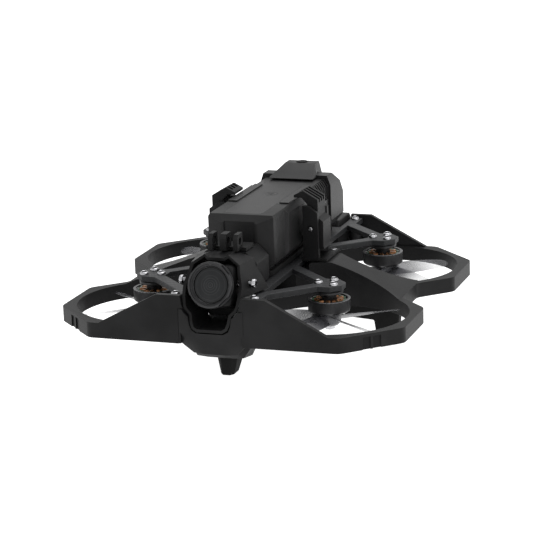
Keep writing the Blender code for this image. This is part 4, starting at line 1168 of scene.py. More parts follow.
def chip_pattern() -> Pattern:
    """Tree that strews a shape over flat faces, in several sizes."""
    tree = Pattern("chips", {"Spacing": "NodeSocketFloat", "Seed": "NodeSocketInt"})
    sockets = {"Mesh": tree.given("Geometry"), "Distance Min": tree.given("Spacing")}
    sockets |= {"Density Max": 4.0e5, "Seed": tree.given("Seed")}
    points = tree.node("GeometryNodeDistributePointsOnFaces", {"distribute_method": "POISSON"}, sockets)
    sockets = {0: (0.35, 0.35, 0.5), 1: (1.0, 1.0, 1.0), "Seed": tree.given("Seed")}
    size = tree.node("FunctionNodeRandomValue", {"data_type": "FLOAT_VECTOR"}, sockets)
    tree.close(tree.copies(points.outputs[0], Scale=size.outputs[0]))
    return tree


RING = ring_pattern()
ROW = row_pattern()
SPOTS = spot_pattern()
CHIPS = chip_pattern()


def points_mesh(points: Sequence[Sequence[float]]) -> bpy.types.Mesh:
    """Mesh of loose points.

    Args:
        points: Places of the points.

    Returns:
        The mesh.
    """
    mesh = bpy.data.meshes.new("points")
    mesh.from_pydata([tuple(point) for point in points], [], [])
    return mesh


# ---------------------------------------------------------------- fasteners


@dataclass(frozen=True)
class ButtonScrew:
    """Button-head screw with a hexagon socket."""

    radius: float = 1.9 * MM
    height: float = 1.35 * MM
    socket: float = 0.95 * MM
    shank: float = 1.0 * MM

    def mesh(self) -> bpy.types.Mesh:
        """Head with its socket, standing on z = 0, with a short shank under it."""
        rim, top = self.radius, self.height
        outer = [(self.shank, -0.1 * MM), (self.shank, 0.0), (rim, 0.0)]
        dome = [(rim * math.cos(a), top * (0.28 + 0.72 * math.sin(a))) for a in (0.0, 0.35, 0.7, 1.0)]
        crown = [(self.socket * 1.18, top), (self.socket, top - 0.12 * MM)]
        profile = [(0.0, -0.1 * MM), *outer, *dome, *crown]
        profile += [(self.socket * 0.96, top * 0.35), (0.0, top * 0.30)]
        return turned(profile, Matrix.Identity(4), 24, whole=False)


@dataclass(frozen=True)
class FlatScrew:
    """Low screw head with a cross-shaped drive."""

    radius: float = 1.6 * MM
    height: float = 0.5 * MM

    def mesh(self) -> bpy.types.Mesh:
        """Head standing on z = 0."""
        rim, top = self.radius, self.height
        profile = [(0.0, 0.0), (rim, 0.0), (rim, top * 0.5), (rim * 0.86, top), (0.0, top)]
        head = turned(profile, Matrix.Identity(4), 24, whole=False)
        arm, reach = rim * 0.14, rim * 0.6
        bars = []
        for x, y in ((arm, reach), (reach, arm)):
            bars.append(box((-x, -y, top * 0.4), (x, y, top * 2)))
        return shaped(head, "DIFFERENCE", *bars)


# ---------------------------------------------------------------- ducts


@dataclass
class Ducts:
    """Left and right duct mouldings."""

    rounding: float = 0.75 * MM
    recess_width: float = 3.7 * MM
    recess_gap: float = 1.2 * MM
    recess_depth: float = 0.55 * MM
    lip: float = 1.3 * MM
    height: float = 6.7 * MM

    def recesses(self, side: Side, end: int) -> list[bpy.types.Mesh]:
        """Pair of shallow recesses in the slanted outer facet of one duct.

        Args:
            side: Side of the drone.
            end: -1 for the nose, 1 for the tail.

        Returns:
            Tools that cut them.
        """
        low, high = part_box(f"duct_frame_{side.label}")
        edge = high.x if side is Side.LEFT else -low.x
        corner = Corner((side.value, end))
        out = edge - abs(corner.axis.x)
        middle = corner.axis + Vector((side.value, end, 0)) * (out / math.sqrt(2))
        turn = math.atan2(end, side.value)
        duct_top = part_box("side_leg_left")[1].z + 0.3 * MM + self.height
        tools = []
        for step in (-1, 1):
            near = step * self.recess_gap / 2
            far = step * (self.recess_gap / 2 + self.recess_width)
            ys = sorted((near, far))
            shape = box(
                (-self.recess_depth, ys[0], low.z - 1 * MM),
                (3 * MM, ys[1], duct_top - self.lip),
            )
            shape.transform(about(middle, turn))
            tools.append(shape)
        return tools

    def build(self) -> None:
        """Make both mouldings."""
        for side in Side:
            node = f"duct_frame_{side.label}"
            tools = self.recesses(side, -1) + self.recesses(side, 1)
            mesh = shaped(cad_mesh(node), "DIFFERENCE", *tools)
            mesh = softened(mesh, self.rounding, 3)
            FRAME_SHELL.add(f"{side.label}_duct_moulding", mesh, SHELL, [node])


@dataclass
class ArmPlate:
    """Woven plate that carries the motors, with its screws."""

    rounding: float = 0.4 * MM
    motor_screw_reach: float = 4.3 * MM
    motor_screw_start: float = -45.0
    tab_inset: float = 3.4 * MM
    tab_x: float = 17.6 * MM

    def screw_places(self) -> list[Vector]:
        """Points on the plate's top where a button-head screw stands."""
        _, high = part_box("arm_plate")
        top = high.z + 0.02 * MM
        places = []
        for corner in Corner:
            side, end = corner.value
            for third in range(3):
                turn = math.radians(self.motor_screw_start + 120 * third)
                out = Vector((side * math.cos(turn), math.sin(turn), 0)) * self.motor_screw_reach
                places.append(corner.axis + out + Vector((0, 0, top)))
            places.append(Vector((side * self.tab_x, end * (high.y - self.tab_inset), top)))
        return places

    def build(self) -> None:
        """Make the plate and its screws."""
        body = Body("frame", "plate_grey")
        body.dress("arm_plate", "woven_arm_plate", PLATE, self.rounding)
        mesh = SPOTS.run(STEEL, ButtonScrew().mesh(), points_mesh(self.screw_places()), Seed=3)
        FRAME_STEEL.add("arm_plate_screws", mesh, STEEL)


# ---------------------------------------------------------------- motors


@dataclass
class Motor:
    """One outrunner: stand, stator, windings and bell."""

    corner: Corner
    teeth: int = 9
    magnets: int = 12
    wire: float = 0.24 * MM
    turns: int = 6
    stack_low: float = 26.9 * MM
    stack_high: float = 31.0 * MM
    column: float = 3.3 * MM
    bore: float = 1.1 * MM

    def build(self) -> None:
        """Make the motor's fixed and turning pieces."""
        label = self.corner.label
        centre = self.corner.axis
        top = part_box(f"motor_base_{label}")[1].z
        stack_low, column, bore = self.stack_low, self.column, self.bore
        rotor = Body(f"rotor_{label}", "bell_dark")
        profile = [(bore, top), (5.9 * MM, top), (6.2 * MM, top - 0.3 * MM), (6.2 * MM, top - 1.2 * MM)]
        profile += [(5.9 * MM, top - 1.5 * MM), (3.9 * MM, top - 1.5 * MM), (column, top - 2.1 * MM)]
        profile += [(column, stack_low + 0.3 * MM), (bore, stack_low + 0.3 * MM)]
        stand = turned(profile, about(centre), 40)
        fixed = Body("frame", "bell_dark")
        fixed.add(f"motor_stand_{label}", stand, ANODISED, [f"motor_base_{label}"])
        self.stator(centre, stack_low, self.stack_high, column)
        rotor.dress(f"motor_bell_{label}", f"motor_can_{label}", ANODISED, 0.22 * MM)
        self.rotor_trim(centre)

    def stator(self, centre: Vector, low: float, high: float, column: float) -> None:
        """Make the laminated teeth, their insulation and the windings.

        Args:
            centre: Point on the motor's axis.
            low: Underside of the stator.
            high: Top of the stator.
            column: Radius of the column inside it.
        """
        label = self.corner.label
        rim = 7.35 * MM
        half = FULL_TURN / self.teeth / 2
        arc = [half * 0.82 * step / 3 for step in range(-3, 4)]
        inner = 6.75 * MM
        neck = 0.55 * MM
        tooth = [(column * 0.98, -neck), (inner * 0.985, -neck)]
        tooth += [(inner * math.cos(arc[0]), inner * math.sin(arc[0]))]
        tooth += [(rim * math.cos(a), rim * math.sin(a)) for a in arc]
        tooth += [(inner * math.cos(arc[-1]), inner * math.sin(arc[-1]))]
        tooth += [(inner * 0.985, neck), (column * 0.98, neck)]
        shape = prism(tooth, Plane.XY, low + 0.55 * MM, high - 0.75 * MM)
        count = {"Count": self.teeth, "Start": 0.0, "Centre": tuple(centre)}
        mesh = RING.run(DARK_STEEL, shape, **count)
        FRAME_STEEL.add(f"stator_teeth_{label}", mesh, DARK_STEEL)
        shrunk = [(x * 0.985, y * 0.9) for x, y in tooth]
        shape = prism(shrunk, Plane.XY, high - 0.73 * MM, high - 0.45 * MM)
        mesh = RING.run(VARNISH, shape, **count)
        FRAME_BOARD.add(f"slot_insulation_{label}", mesh, VARNISH)
        mesh = RING.run(WIRE, self.coil(column, inner, low, high), **count)
        Body("frame", "copper").add(f"windings_{label}", mesh, WIRE, sharp=60.0)

    def coil(self, column: float, inner: float, low: float, high: float) -> bpy.types.Mesh:
        """Wire wound around one tooth, which points along X.

        Args:
            column: Radius where the tooth starts.
            inner: Radius where its head starts.
            low: Underside of the stator.
            high: Top of the stator.

        Returns:
            The mesh.
        """
        steps = 10
        start, end = column + 0.35 * MM, inner - 0.3 * MM
        middle = (low + high) / 2 - 0.05 * MM
        path = []
        total = self.turns * steps
        for index in range(total + 1):
            share = index / total
            turn = FULL_TURN * index / steps
            width = 0.85 * MM + 0.45 * MM * share
            tall = (high - low) / 2 - 0.15 * MM
            cosine, sine = math.cos(turn), math.sin(turn)
            soft = max(abs(cosine), abs(sine)) ** 0.6
            out = start + (end - start) * share
            path.append(Vector((out, width * cosine / soft, middle + tall * sine / soft)))
        return tube(path, self.wire, 6)

    def rotor_trim(self, centre: Vector) -> None:
        """Make the magnets and the bright lip that turn with the bell.

        Args:
            centre: Point on the motor's axis.
        """
        label = self.corner.label
        rotor = Body(f"rotor_{label}", "steel")
        half = 1.55 * MM
        shape = box((7.62 * MM, -half, 26.9 * MM), (8.0 * MM, half, 30.4 * MM))
        shape = softened(shape, 0.1 * MM, 1)
        mesh = RING.run(MAGNET, shape, Count=self.magnets, Start=0.1, Centre=tuple(centre))
        rotor.add(f"magnets_{label}", mesh, MAGNET)
        rim = 8.98 * MM
        profile = [(rim - 0.9 * MM, 30.98 * MM), (rim, 30.98 * MM), (rim + 0.1 * MM, 30.85 * MM)]
        profile += [(rim + 0.1 * MM, 30.7 * MM), (rim - 0.9 * MM, 30.7 * MM)]
        lip = turned(profile, about(centre), 64)
        rotor.add(f"bell_lip_{label}", lip, LIP)


@dataclass
class Propeller:
    """Five swept blades on a hub, in smoked plastic."""

    corner: Corner
    blades: int = 5
    radius: float = 31.3 * MM
    chord: float = 9.0 * MM
    stations: int = 16

    def blade(self, hand: int, middle: float) -> bpy.types.Mesh:
        """One twisted blade along X.

        Args:
            hand: Turning direction, 1 or -1.
            middle: Height of the hub's middle.

        Returns:
            The mesh.
        """
        sections = []
        for station in range(self.stations):
            share = 0.11 + 0.89 * station / (self.stations - 1)
            width = self.chord * (0.62 + 1.3 * share - 1.25 * share * share)
            if share > 0.94:
                width *= 1 - 0.5 * ((share - 0.94) / 0.06) ** 2
            pitch = hand * math.radians(34 - 20 * share)
            thick = 1.0 * MM * (1.15 - 0.45 * share) / 2
            ring = []
            for step in range(12):
                turn = FULL_TURN * step / 12
                along = math.cos(turn) * 0.5 * width
                camber = 0.55 * (1 - (2 * along / width) ** 2) - 0.3
                up = thick * (0.75 * math.sin(turn) + camber * 0.5)
                y = along * math.cos(pitch) - up * math.sin(pitch)
                z = along * math.sin(pitch) + up * math.cos(pitch)
                ring.append((share * self.radius, y, middle + z))
            sections.append(ring)
        return loft(sections)

    def build(self) -> None:
        """Make the propeller and its nut."""
        label = self.corner.label
        side, end = self.corner.value
        hub_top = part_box(f"prop_nut_{label}")[1].z + 0.3 * MM + 5.6 * MM
        hub_low = hub_top - 5.6 * MM
        middle = (hub_low + hub_top) / 2
        start = math.pi / self.blades if side > 0 else math.pi - math.pi / self.blades
        shape = self.blade(side * end, middle)
        values = {"Count": self.blades, "Start": start, "Centre": tuple(self.corner.axis)}
        blades = RING.run(BLADE, shape, **values)
        bore, rim = 1.4 * MM, 4.9 * MM
        profile = [(bore, hub_top), (rim - 0.7 * MM, hub_top), (rim - 0.2 * MM, hub_top - 0.2 * MM)]
        profile += [(rim, hub_top - 0.7 * MM), (rim, hub_low + 1.3 * MM), (rim - 1.2 * MM, hub_low)]
        profile += [(3.1 * MM, hub_low), (2.9 * MM, hub_low + 0.6 * MM), (bore, hub_low + 0.6 * MM)]
        hub = turned(profile, about(self.corner.axis), 48)
        mesh = merged([blades, hub])
        centre = self.corner.axis
        span = mesh.attributes.new("span", "FLOAT", "POINT")
        reach = [(Vector(v.co[:2]) - centre.to_2d()).length / self.radius for v in mesh.vertices]
        span.data.foreach_set("value", reach)
        rotor = Body(f"rotor_{label}", "blade_smoke")
        rotor.add(f"smoked_propeller_{label}", mesh, BLADE, [f"propeller_{label}"], 50.0)
        nut = Body(f"rotor_{label}", "steel")
        nut.dress(f"prop_nut_{label}", f"lock_nut_{label}", STEEL, 0.2 * MM)


# ---------------------------------------------------------------- nose


@dataclass
class Nose:
    """Shroud, cover, prongs, chin and everything under them."""

    plain: tuple[tuple[str, str, float], ...] = (
        ("nose_shroud", "hood", 0.35),
        ("nose_cover", "radio_cover", 0.6),
        ("camera_mount_prongs", "action_camera_prongs", 0.4),
        ("chin_guard", "chin_wedge", 0.25),
    )
    seam: float = 0.27 * MM

    def filled_chin(self, mesh: bpy.types.Mesh) -> bpy.types.Mesh:
        """Chin grown until only a hairline is left between it and the walls.

        Args:
            mesh: Chin as the frame has it.

        Returns:
            The grown mesh.
        """
        _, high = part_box("chin_guard")
        front, back = -78.35 * MM, -73.9 * MM
        strips = []
        for side in (-1, 1):
            xs = sorted((side * (high.x - 0.6 * MM), side * (high.x + self.seam)))
            strips.append(box((xs[0], front, 18.0 * MM), (xs[1], back, high.z + self.seam)))
            xs = sorted((side * (high.x - 1.2 * MM), side * (high.x + self.seam)))
            strips.append(box((xs[0], front, high.z - 0.6 * MM), (xs[1], back, high.z + self.seam)))
        return shaped(mesh, "UNION", *strips)

    @staticmethod
    def bulkhead() -> bpy.types.Mesh:
        """Low wall behind the camera, with cut corners and a slot for the cable."""
        half = [(2.4, 33.4), (1.8, 31.6), (0.0, 31.6)]
        half = [(7.2, 26.0), (8.6, 27.4), (8.6, 32.0), (7.2, 33.4)] + half
        whole = half[:-1] + [(-x, z) for x, z in reversed(half[:-1])]
        outline = [(x * MM, z * MM) for x, z in whole]
        return softened(prism(outline, Plane.XZ, -60.5 * MM, -59.4 * MM), 0.25 * MM, 2)

    def build(self) -> None:
        """Make the nose's shells, the wall behind the camera and the radio."""
        for node, name, width in self.plain:
            mesh = cad_mesh(node)
            if node == "chin_guard":
                mesh = self.filled_chin(mesh)
            mesh = softened(mesh, width * MM, 3)
            FRAME_SHELL.add(name, mesh, SHELL, [node])
        FRAME_SHELL.add("rear_bulkhead", self.bulkhead(), SHELL)
        FRAME_WRAP.dress("video_transmitter", "wrapped_radio", WRAP, 0.3 * MM)


@dataclass
class Camera:
    """Tilting camera: block, lens barrel, glass and pivot screws."""

    lean: float = math.radians(17)
    drop: float = 1.9 * MM
    front: float = 10.0 * MM
    radius: float = 9.8 * MM
    glass: float = 7.2 * MM
    notches: int = 4

    def place(self) -> Matrix:
        """Placement of the lens axis, with +Z looking out of the lens."""
        hinge = next(j for j in frame["joints"] if j["name"] == "camera_tilt")
        axis = Vector(hinge["pos_m"])
        down = Matrix.Rotation(-self.lean, 3, "X") @ Vector((0, 0, -self.drop))
        return about(axis + down, math.pi / 2 - self.lean, "X")

    def barrel(self) -> bpy.types.Mesh:
        """Stepped barrel with notches in its front ring."""
        front, rim, glass = self.front, self.radius, self.glass
        profile = [
            (0.0, front - 2.6 * MM),
            (glass + 0.3 * MM, front - 2.6 * MM),
            (glass + 0.3 * MM, front - 1.5 * MM),
            (glass + 0.7 * MM, front - 1.2 * MM),
            (glass + 0.9 * MM, front - 0.75 * MM),
            (glass + 1.5 * MM, front - 0.6 * MM),
            (glass + 1.6 * MM, front - 0.1 * MM),
            (glass + 1.75 * MM, front),
            (rim - 0.6 * MM, front),
            (rim - 0.15 * MM, front - 0.15 * MM),
            (rim, front - 0.6 * MM),
            (rim, front - 1.6 * MM),
            (rim - 0.35 * MM, front - 1.8 * MM),
            (rim - 0.35 * MM, front - 2.1 * MM),
            (rim, front - 2.3 * MM),
            (rim, 7.2 * MM),
            (rim - 1.5 * MM, 6.4 * MM),
            (0.0, 6.4 * MM),
        ]
        mesh = turned(profile, Matrix.Identity(4), 96, whole=False)
        tools = []
        for number in range(self.notches):
            turn = math.pi / 4 + FULL_TURN * number / self.notches
            low = (rim - 0.75 * MM, -2.6 * MM, front - 1.1 * MM)
            tool = box(low, (rim + 1 * MM, 2.6 * MM, front + 1 * MM))
            tool.transform(Matrix.Rotation(turn, 4, "Z"))
            tools.append(tool)
        return softened(shaped(mesh, "DIFFERENCE", *tools), 0.12 * MM, 2, 40.0)

    def build(self) -> None:
        """Make the camera's pieces."""
        place = self.place()
        body = Body("camera", "bell_dark")
        mesh = self.barrel()
        mesh.transform(place)
        body.add("lens_housing", mesh, ANODISED, ["lens_barrel"], 30.0)
        front = self.front
        bulge = 1.2 * MM
        steps = 12
        dome = []
        for step in range(steps + 1):
            share = step / steps
            dome.append((self.glass * share, front - 1.15 * MM - bulge * 0.55 * share * share))
        profile = [*dome, (self.glass, front - 2.3 * MM), (0.0, front - 2.3 * MM)]
        mesh = turned(profile, place, 64, whole=False)
        painted_reflections = LensCoating("lens_coating", place.translation, self.lean)
        Body("camera", "lens_dark").add("front_element", mesh, painted_reflections, ["lens_glass"], 60.0)
        Body("camera", "shell_black").dress("camera_body", "camera_block", SHELL, 0.4 * MM)
        for side in Side:
            node = f"tilt_screw_{side.label}"
            mesh = softened(cad_mesh(node), 0.15 * MM, 2)
            low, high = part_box(node)
            end = high.x if side is Side.LEFT else low.x
            hinge = Vector((end, (low.y + high.y) / 2, (low.z + high.z) / 2))
            hexagon = [(0.85 * MM * math.cos(a), 0.85 * MM * math.sin(a)) for a in hexagon_angles()]
            tool = prism(hexagon, Plane.XY, -0.9 * MM, 1 * MM)
            tool.transform(about(hinge, side.value * math.pi / 2, "Y"))
            mesh = shaped(mesh, "DIFFERENCE", tool)
            Body("camera", "steel").add(f"pivot_screw_{side.label}", mesh, STEEL, [node])


def hexagon_angles() -> list[float]:
    """Angles of a hexagon's corners."""
    return [FULL_TURN * corner / 6 for corner in range(6)]


# ---------------------------------------------------------------- battery


@dataclass
class Battery:
    """Battery case, rear cap, button, plug and what they hold."""

    panel_half: float = 7.0 * MM
    panel_depth: float = 0.7 * MM
    ribs: int = 8
    rib_pitch: float = 2.4 * MM
    rib_start: float = 17.5 * MM
    shoulder: float = 0.55 * MM
    front_chamfer: float = 3.2 * MM
    waist: float = 1.2 * MM
    groove_foot: float = 5.6 * MM

    def case(self) -> bpy.types.Mesh:
        """Case with its front panel and the pockets for the side ribs."""
        low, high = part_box("battery_case")
        tools = []
        tools.append(
            box(
                (-self.panel_half, low.y - 1 * MM, low.z - 1 * MM),
                (self.panel_half, low.y + self.panel_depth, high.z - 3.2 * MM),
            )
        )
        length = (self.ribs - 1) * self.rib_pitch
        for side in Side:
            xs = sorted((side.value * (high.x - 2.6 * MM), side.value * (high.x + 1 * MM)))
            start = self.rib_start - 1.2 * MM
            tools.append(
                box(
                    (xs[0], start, high.z - 9.5 * MM),
                    (xs[1], start + length + 2.4 * MM, high.z + 1 * MM),
                )
            )
        cut, top = self.front_chamfer, high.z - self.shoulder
        front, over = low.y - 1 * MM, top + 1 * MM
        slope = [(front, top - cut - 1 * MM), (front, over), (low.y + cut + 1 * MM, over)]
        tools.append(prism(slope, Plane.YZ, -20 * MM, 20 * MM))
        fills = [self.groove_block(side, 5.9 * MM, 13.1 * MM, 3.8 * MM) for side in (-1, 1)]
        mesh = shaped(cad_mesh("battery_case"), "UNION", *fills)
        mesh = softened(shaped(mesh, "DIFFERENCE", *tools), 0.5 * MM, 3)
        grooves = []
        for side in (-1, 1):
            for place in (7.0, 9.0, 11.0):
                near, far = (place - 0.35) * MM, (place + 0.35) * MM
                grooves.append(self.groove_block(side, near, far, 0.8 * MM, 1 * MM))
        return shaped(mesh, "DIFFERENCE", *grooves)

    def groove_block(self, side: int, near: float, far: float, drop: float, out: float = 0.0) -> bpy.types.Mesh:
        """Upright block over the grooves of one side.

        Args:
            side: -1 for the right side, 1 for the left.
            near: Front of the block, behind the battery's front.
            far: Back of the block.
            drop: Top of the block under the battery's top.
            out: How far the block stands out of the side.

        Returns:
            The mesh.
        """
        low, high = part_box("battery_case")
        waist = high.x - self.waist
        xs = sorted((side * (waist - 0.85 * MM), side * (waist + out)))
        return box((xs[0], low.y + near, low.z + self.groove_foot), (xs[1], low.y + far, high.z - drop))

    def build(self) -> None:
        """Make every piece of the battery."""
        _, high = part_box("battery_case")
        mesh = self.case()
        FRAME_BATTERY.add("battery_housing", mesh, BATTERY, ["battery_case"])
        for side in Side:
            thick = 0.55 * MM
            near, far = high.x - 2.7 * MM, high.x - 0.35 * MM
            outline = [(near, high.z - 9.4 * MM), (far, high.z - 9.4 * MM)]
            outline += [(far, high.z - 3.6 * MM), (far - 1.7 * MM, high.z - 0.9 * MM)]
            outline += [(near, high.z - 0.9 * MM)]
            shape = prism([(side.value * x, z) for x, z in outline], Plane.XZ, -thick, thick)
            shape = softened(shape, 0.15 * MM, 1)
            values = {"Count": self.ribs, "Start": (0.0, self.rib_start, 0.0)}
            mesh = ROW.run(BATTERY, shape, Step=(0.0, self.rib_pitch, 0.0), **values)
            FRAME_BATTERY.add(f"grip_ribs_{side.label}", mesh, BATTERY)
        FRAME_BATTERY.dress("battery_end_cap", "battery_rear_cap", BATTERY, 0.6 * MM, 3)
        mesh = softened(self.top_plate(), 0.15 * MM, 2)
        FRAME_BATTERY.add("battery_top_label", mesh, BATTERY, ["battery_top_plate"])
        button = Body("power_button", "rubber_black")
        button.dress("power_button", "button_cap", RUBBER, 0.35 * MM, 3)
        plug = Body("frame", "plug_yellow")
        plug.dress("battery_connector", "battery_plug", PLUG, 0.3 * MM)
        FRAME_RUBBER.dress("battery_cradle", "cradle_pad", RUBBER, 0.4 * MM)
        for number in range(1, 5):
            FRAME_WRAP.dress(
                f"battery_cell_{number}", f"wrapped_cell_{number}", WRAP, 0.35 * MM
            )

    def top_plate(self) -> bpy.types.Mesh:
        """Top plate with a plain engraved mark of three bars in a ring."""
        _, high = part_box("battery_top_plate")
        depth = high.z - 0.25 * MM
        centre = Vector((0, 3.0 * MM, 0))
        over = high.z + 1 * MM
        inner, outer = 2.7 * MM, 3.2 * MM
        groove = [(inner, depth), (outer, depth), (outer, over), (inner, over)]
        tools = [turned(groove, about(centre), 48)]
        for step, half in ((-1, 0.9), (0, 1.5), (1, 0.9)):
            y = centre.y + step * 1.1 * MM
            tools.append(box((-half * MM, y - 0.25 * MM, depth), (half * MM, y + 0.25 * MM, over)))
        plate = shaped(cad_mesh("battery_top_plate"), "DIFFERENCE", *tools)
        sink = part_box("battery_case")[1].z - self.shoulder - high.z
        plate.transform(Matrix.Translation((0, 0, sink)))
        return plate


@dataclass
class Latch:
    """One battery latch: bracket, lever, pin and coil spring."""

    side: Side
    slots: int = 3
    slot_pitch: float = 3.0 * MM
    slot_width: float = 1.8 * MM

    def build(self) -> None:
        """Make the latch's pieces."""
        label = self.side.label
        FRAME_SHELL.dress(f"latch_bracket_{label}", f"latch_tower_{label}", SHELL, 0.4 * MM)
        lever = f"latch_lever_{label}"
        mesh = shaped(cad_mesh(lever), "DIFFERENCE", *self.finger_slots())
        body = Body(f"latch_{label}", "shell_black")
        body.add(f"latch_hook_{label}", softened(mesh, 0.35 * MM, 2), SHELL, [lever])
        FRAME_STEEL.dress(f"latch_pin_{label}", f"pivot_pin_{label}", STEEL, 0.25 * MM, 3)
        self.spring()
        self.screws()

    def finger_slots(self) -> list[bpy.types.Mesh]:
        """Slots across the sloped top of the hook."""
        low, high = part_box(f"latch_lever_{self.side.label}")
        outer = high.x if self.side is Side.LEFT else -low.x
        inner = low.x if self.side is Side.LEFT else -high.x
        tools = []
        for number in range(self.slots):
            middle = (low.y + high.y) / 2 + (number - (self.slots - 1) / 2) * self.slot_pitch
            near, far = inner + 1.8 * MM, outer - 3.2 * MM
            over = high.z + 3 * MM
            outline = [(near, high.z - 1.8 * MM), (near, over), (far + 2 * MM, over)]
            outline += [(far + 2 * MM, high.z - 5.4 * MM), (far, high.z - 5.4 * MM)]
            outline = [(self.side.value * x, z) for x, z in outline]
            half = self.slot_width / 2
            tools.append(prism(outline, Plane.XZ, middle - half, middle + half))
        return tools

    def spring(self) -> None:
        """Coil spring around the pin."""
        node = f"latch_spring_{self.side.label}"
        low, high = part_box(node)
        radius = (high.x - low.x) / 2 - 0.3 * MM
        x, z = (low.x + high.x) / 2, (low.z + high.z) / 2
        turns, steps = 4, 16
        path = []
        for index in range(turns * steps + 1):
            turn = FULL_TURN * index / steps
            y = low.y + 0.3 * MM + (high.y - low.y - 0.6 * MM) * index / (turns * steps)
            path.append(Vector((x + radius * math.cos(turn), y, z + radius * math.sin(turn))))
        name = f"coil_spring_{self.side.label}"
        FRAME_STEEL.add(name, tube(path, 0.25 * MM, 6), STEEL, [node], 60.0)

    def screws(self) -> None:
        """Two low screws through the bracket's foot."""
        low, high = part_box(f"latch_bracket_{self.side.label}")
        outer = high.x if self.side is Side.LEFT else -low.x
        top = low.z + 1.2 * MM + 0.02 * MM
        places = []
        for step in (0, 1):
            x = self.side.value * (outer - 2.6 * MM - step * 3.6 * MM)
            places.append((x, high.y - 2.3 * MM, top))
        mesh = SPOTS.run(STEEL, FlatScrew().mesh(), points_mesh(places), Seed=5)
        FRAME_STEEL.add(f"bracket_screws_{self.side.label}", mesh, STEEL)


# ---------------------------------------------------------------- electronics and feet


@dataclass
class Electronics:
    """Tray, two circuit boards and the posts between them."""

    spacing: float = 1.9 * MM
    chip_area: float = 7.2 * MM

    def build(self) -> None:
        """Make the tray, the boards with their parts, and the posts."""
        FRAME_SHELL.dress("electronics_tray", "electronics_box", SHELL, 0.5 * MM)
        for seed, node in enumerate(("speed_controller", "flight_controller"), start=7):
            FRAME_BOARD.dress(node, f"{node}_board", BOARD, 0.12 * MM, 1)
            half, top = self.chip_area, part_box(node)[1].z
            area = bpy.data.meshes.new("area")
            corners = [(-half, -half, top), (half, -half, top), (half, half, top), (-half, half, top)]
            area.from_pydata(corners, [], [(0, 1, 2, 3)])
            chip = box((-0.9 * MM, -0.8 * MM, 0.0), (0.9 * MM, 0.8 * MM, 0.7 * MM))
            chip = softened(chip, 0.06 * MM, 1)
            mesh = CHIPS.run(CHIP, chip, area, Spacing=self.spacing, Seed=seed)
            FRAME_BOARD.add(f"{node}_chips", mesh, CHIP)
        for number in range(1, 5):
            FRAME_STEEL.dress(f"standoff_{number}", f"post_{number}", STEEL, 0.15 * MM)


@dataclass
class Undercarriage:
    """Feet, legs, keel and tail cover."""

    rubber: tuple[tuple[str, str], ...] = (
        ("nose_foot", "nose_fin"),
        ("tail_foot", "tail_fin"),
        ("side_leg_left", "web_leg_left"),
        ("side_leg_right", "web_leg_right"),
    )

    def build(self) -> None:
        """Make the pieces under and behind the frame."""
        for node, name in self.rubber:
            FRAME_RUBBER.dress(node, name, RUBBER, 0.45 * MM, 3)
        for node, name in (("tail_keel", "keel_block"), ("tail_cover", "tail_shell")):
            FRAME_SHELL.dress(node, name, SHELL, 0.5 * MM, 3)


# ---------------------------------------------------------------- studio


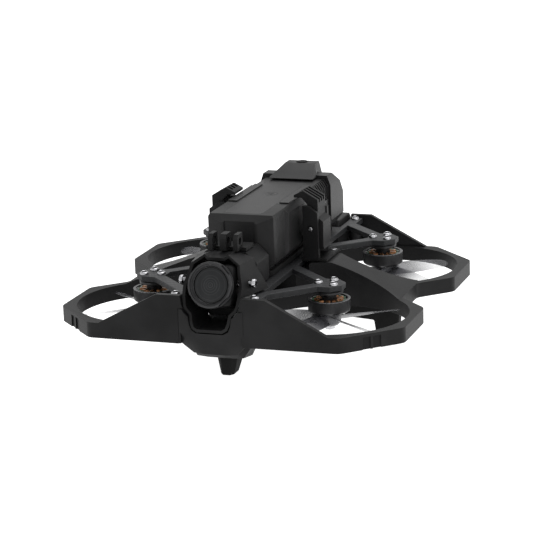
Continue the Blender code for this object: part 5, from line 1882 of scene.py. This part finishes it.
@dataclass
class Studio:
    """Pale floor, soft lights and the camera."""

    target: Vector = field(default_factory=lambda: Vector((-0.002382, 0.000340, 0.031683)))
    distance: float = 0.98567
    azimuth: float = math.radians(19.524)
    elevation: float = math.radians(14.604)
    roll: float = math.radians(-1.923)
    lens: float = 148.6

    def floor(self) -> None:
        """Round floor, a little under the feet."""
        work = bmesh.new()
        bmesh.ops.create_circle(work, cap_ends=True, segments=64, radius=8.0)
        mesh = to_mesh(work, "floor")
        mesh.materials.append(FINISHES.get(StudioPaper()))
        floor = bpy.data.objects.new("floor", mesh)
        floor.location.z = -0.0002
        bpy.context.scene.collection.objects.link(floor)

    def light(self, name: str, place: Sequence[float], size: float, watts: float) -> None:
        """Square soft light aimed at the drone.

        Args:
            name: Name of the light.
            place: Where it hangs.
            size: Length of its side.
            watts: Its power.
        """
        lamp = bpy.data.lights.new(name, "AREA")
        lamp.shape = "SQUARE"
        lamp.size = size
        lamp.energy = watts
        holder = bpy.data.objects.new(name, lamp)
        holder.location = place
        aim = self.target - Vector(place)
        holder.rotation_euler = aim.to_track_quat("-Z", "Y").to_euler()
        bpy.context.scene.collection.objects.link(holder)

    def world(self) -> None:
        """Even white surroundings."""
        world = bpy.data.worlds.new("studio")
        bpy.context.scene.world = world
        world.use_nodes = True
        sky = world.node_tree.nodes["Background"]
        sky.inputs["Color"].default_value = (1, 1, 1, 1)
        sky.inputs["Strength"].default_value = 1.0

    def camera(self) -> None:
        """Camera with a long lens, a little above the nose."""
        a, e, r = self.azimuth, self.elevation, self.roll
        back = Vector((math.sin(a) * math.cos(e), -math.cos(a) * math.cos(e), math.sin(e)))
        right = Vector((math.cos(a), math.sin(a), 0))
        up = back.cross(right)
        turned_right = right * math.cos(r) + up * math.sin(r)
        turned_up = up * math.cos(r) - right * math.sin(r)
        data = bpy.data.cameras.new("camera")
        data.lens = self.lens
        data.sensor_width = 36.0
        data.clip_start = 0.01
        eye = bpy.data.objects.new("camera", data)
        basis = Matrix((turned_right, turned_up, back)).transposed().to_4x4()
        eye.matrix_world = Matrix.Translation(self.target + back * self.distance) @ basis
        bpy.context.scene.collection.objects.link(eye)
        bpy.context.scene.camera = eye

    def build(self) -> None:
        """Set the whole studio up."""
        self.world()
        self.floor()
        self.light("overhead", (0.1, 0.35, 1.1), 0.9, 9.0)
        self.light("left_fill", (0.9, -0.5, 0.5), 0.6, 1.5)
        self.camera()
        bpy.context.scene.view_settings.view_transform = "Standard"


def main() -> None:
    """Build the studio and every sub-assembly."""
    logging.basicConfig(level=logging.INFO, format="%(name)s %(message)s")
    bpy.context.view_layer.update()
    Studio().build()
    Ducts().build()
    ArmPlate().build()
    for corner in Corner:
        Motor(corner).build()
        Propeller(corner).build()
    Nose().build()
    Camera().build()
    Battery().build()
    for side in Side:
        Latch(side).build()
    Electronics().build()
    Undercarriage().build()


if __name__ == "__main__":
    main()
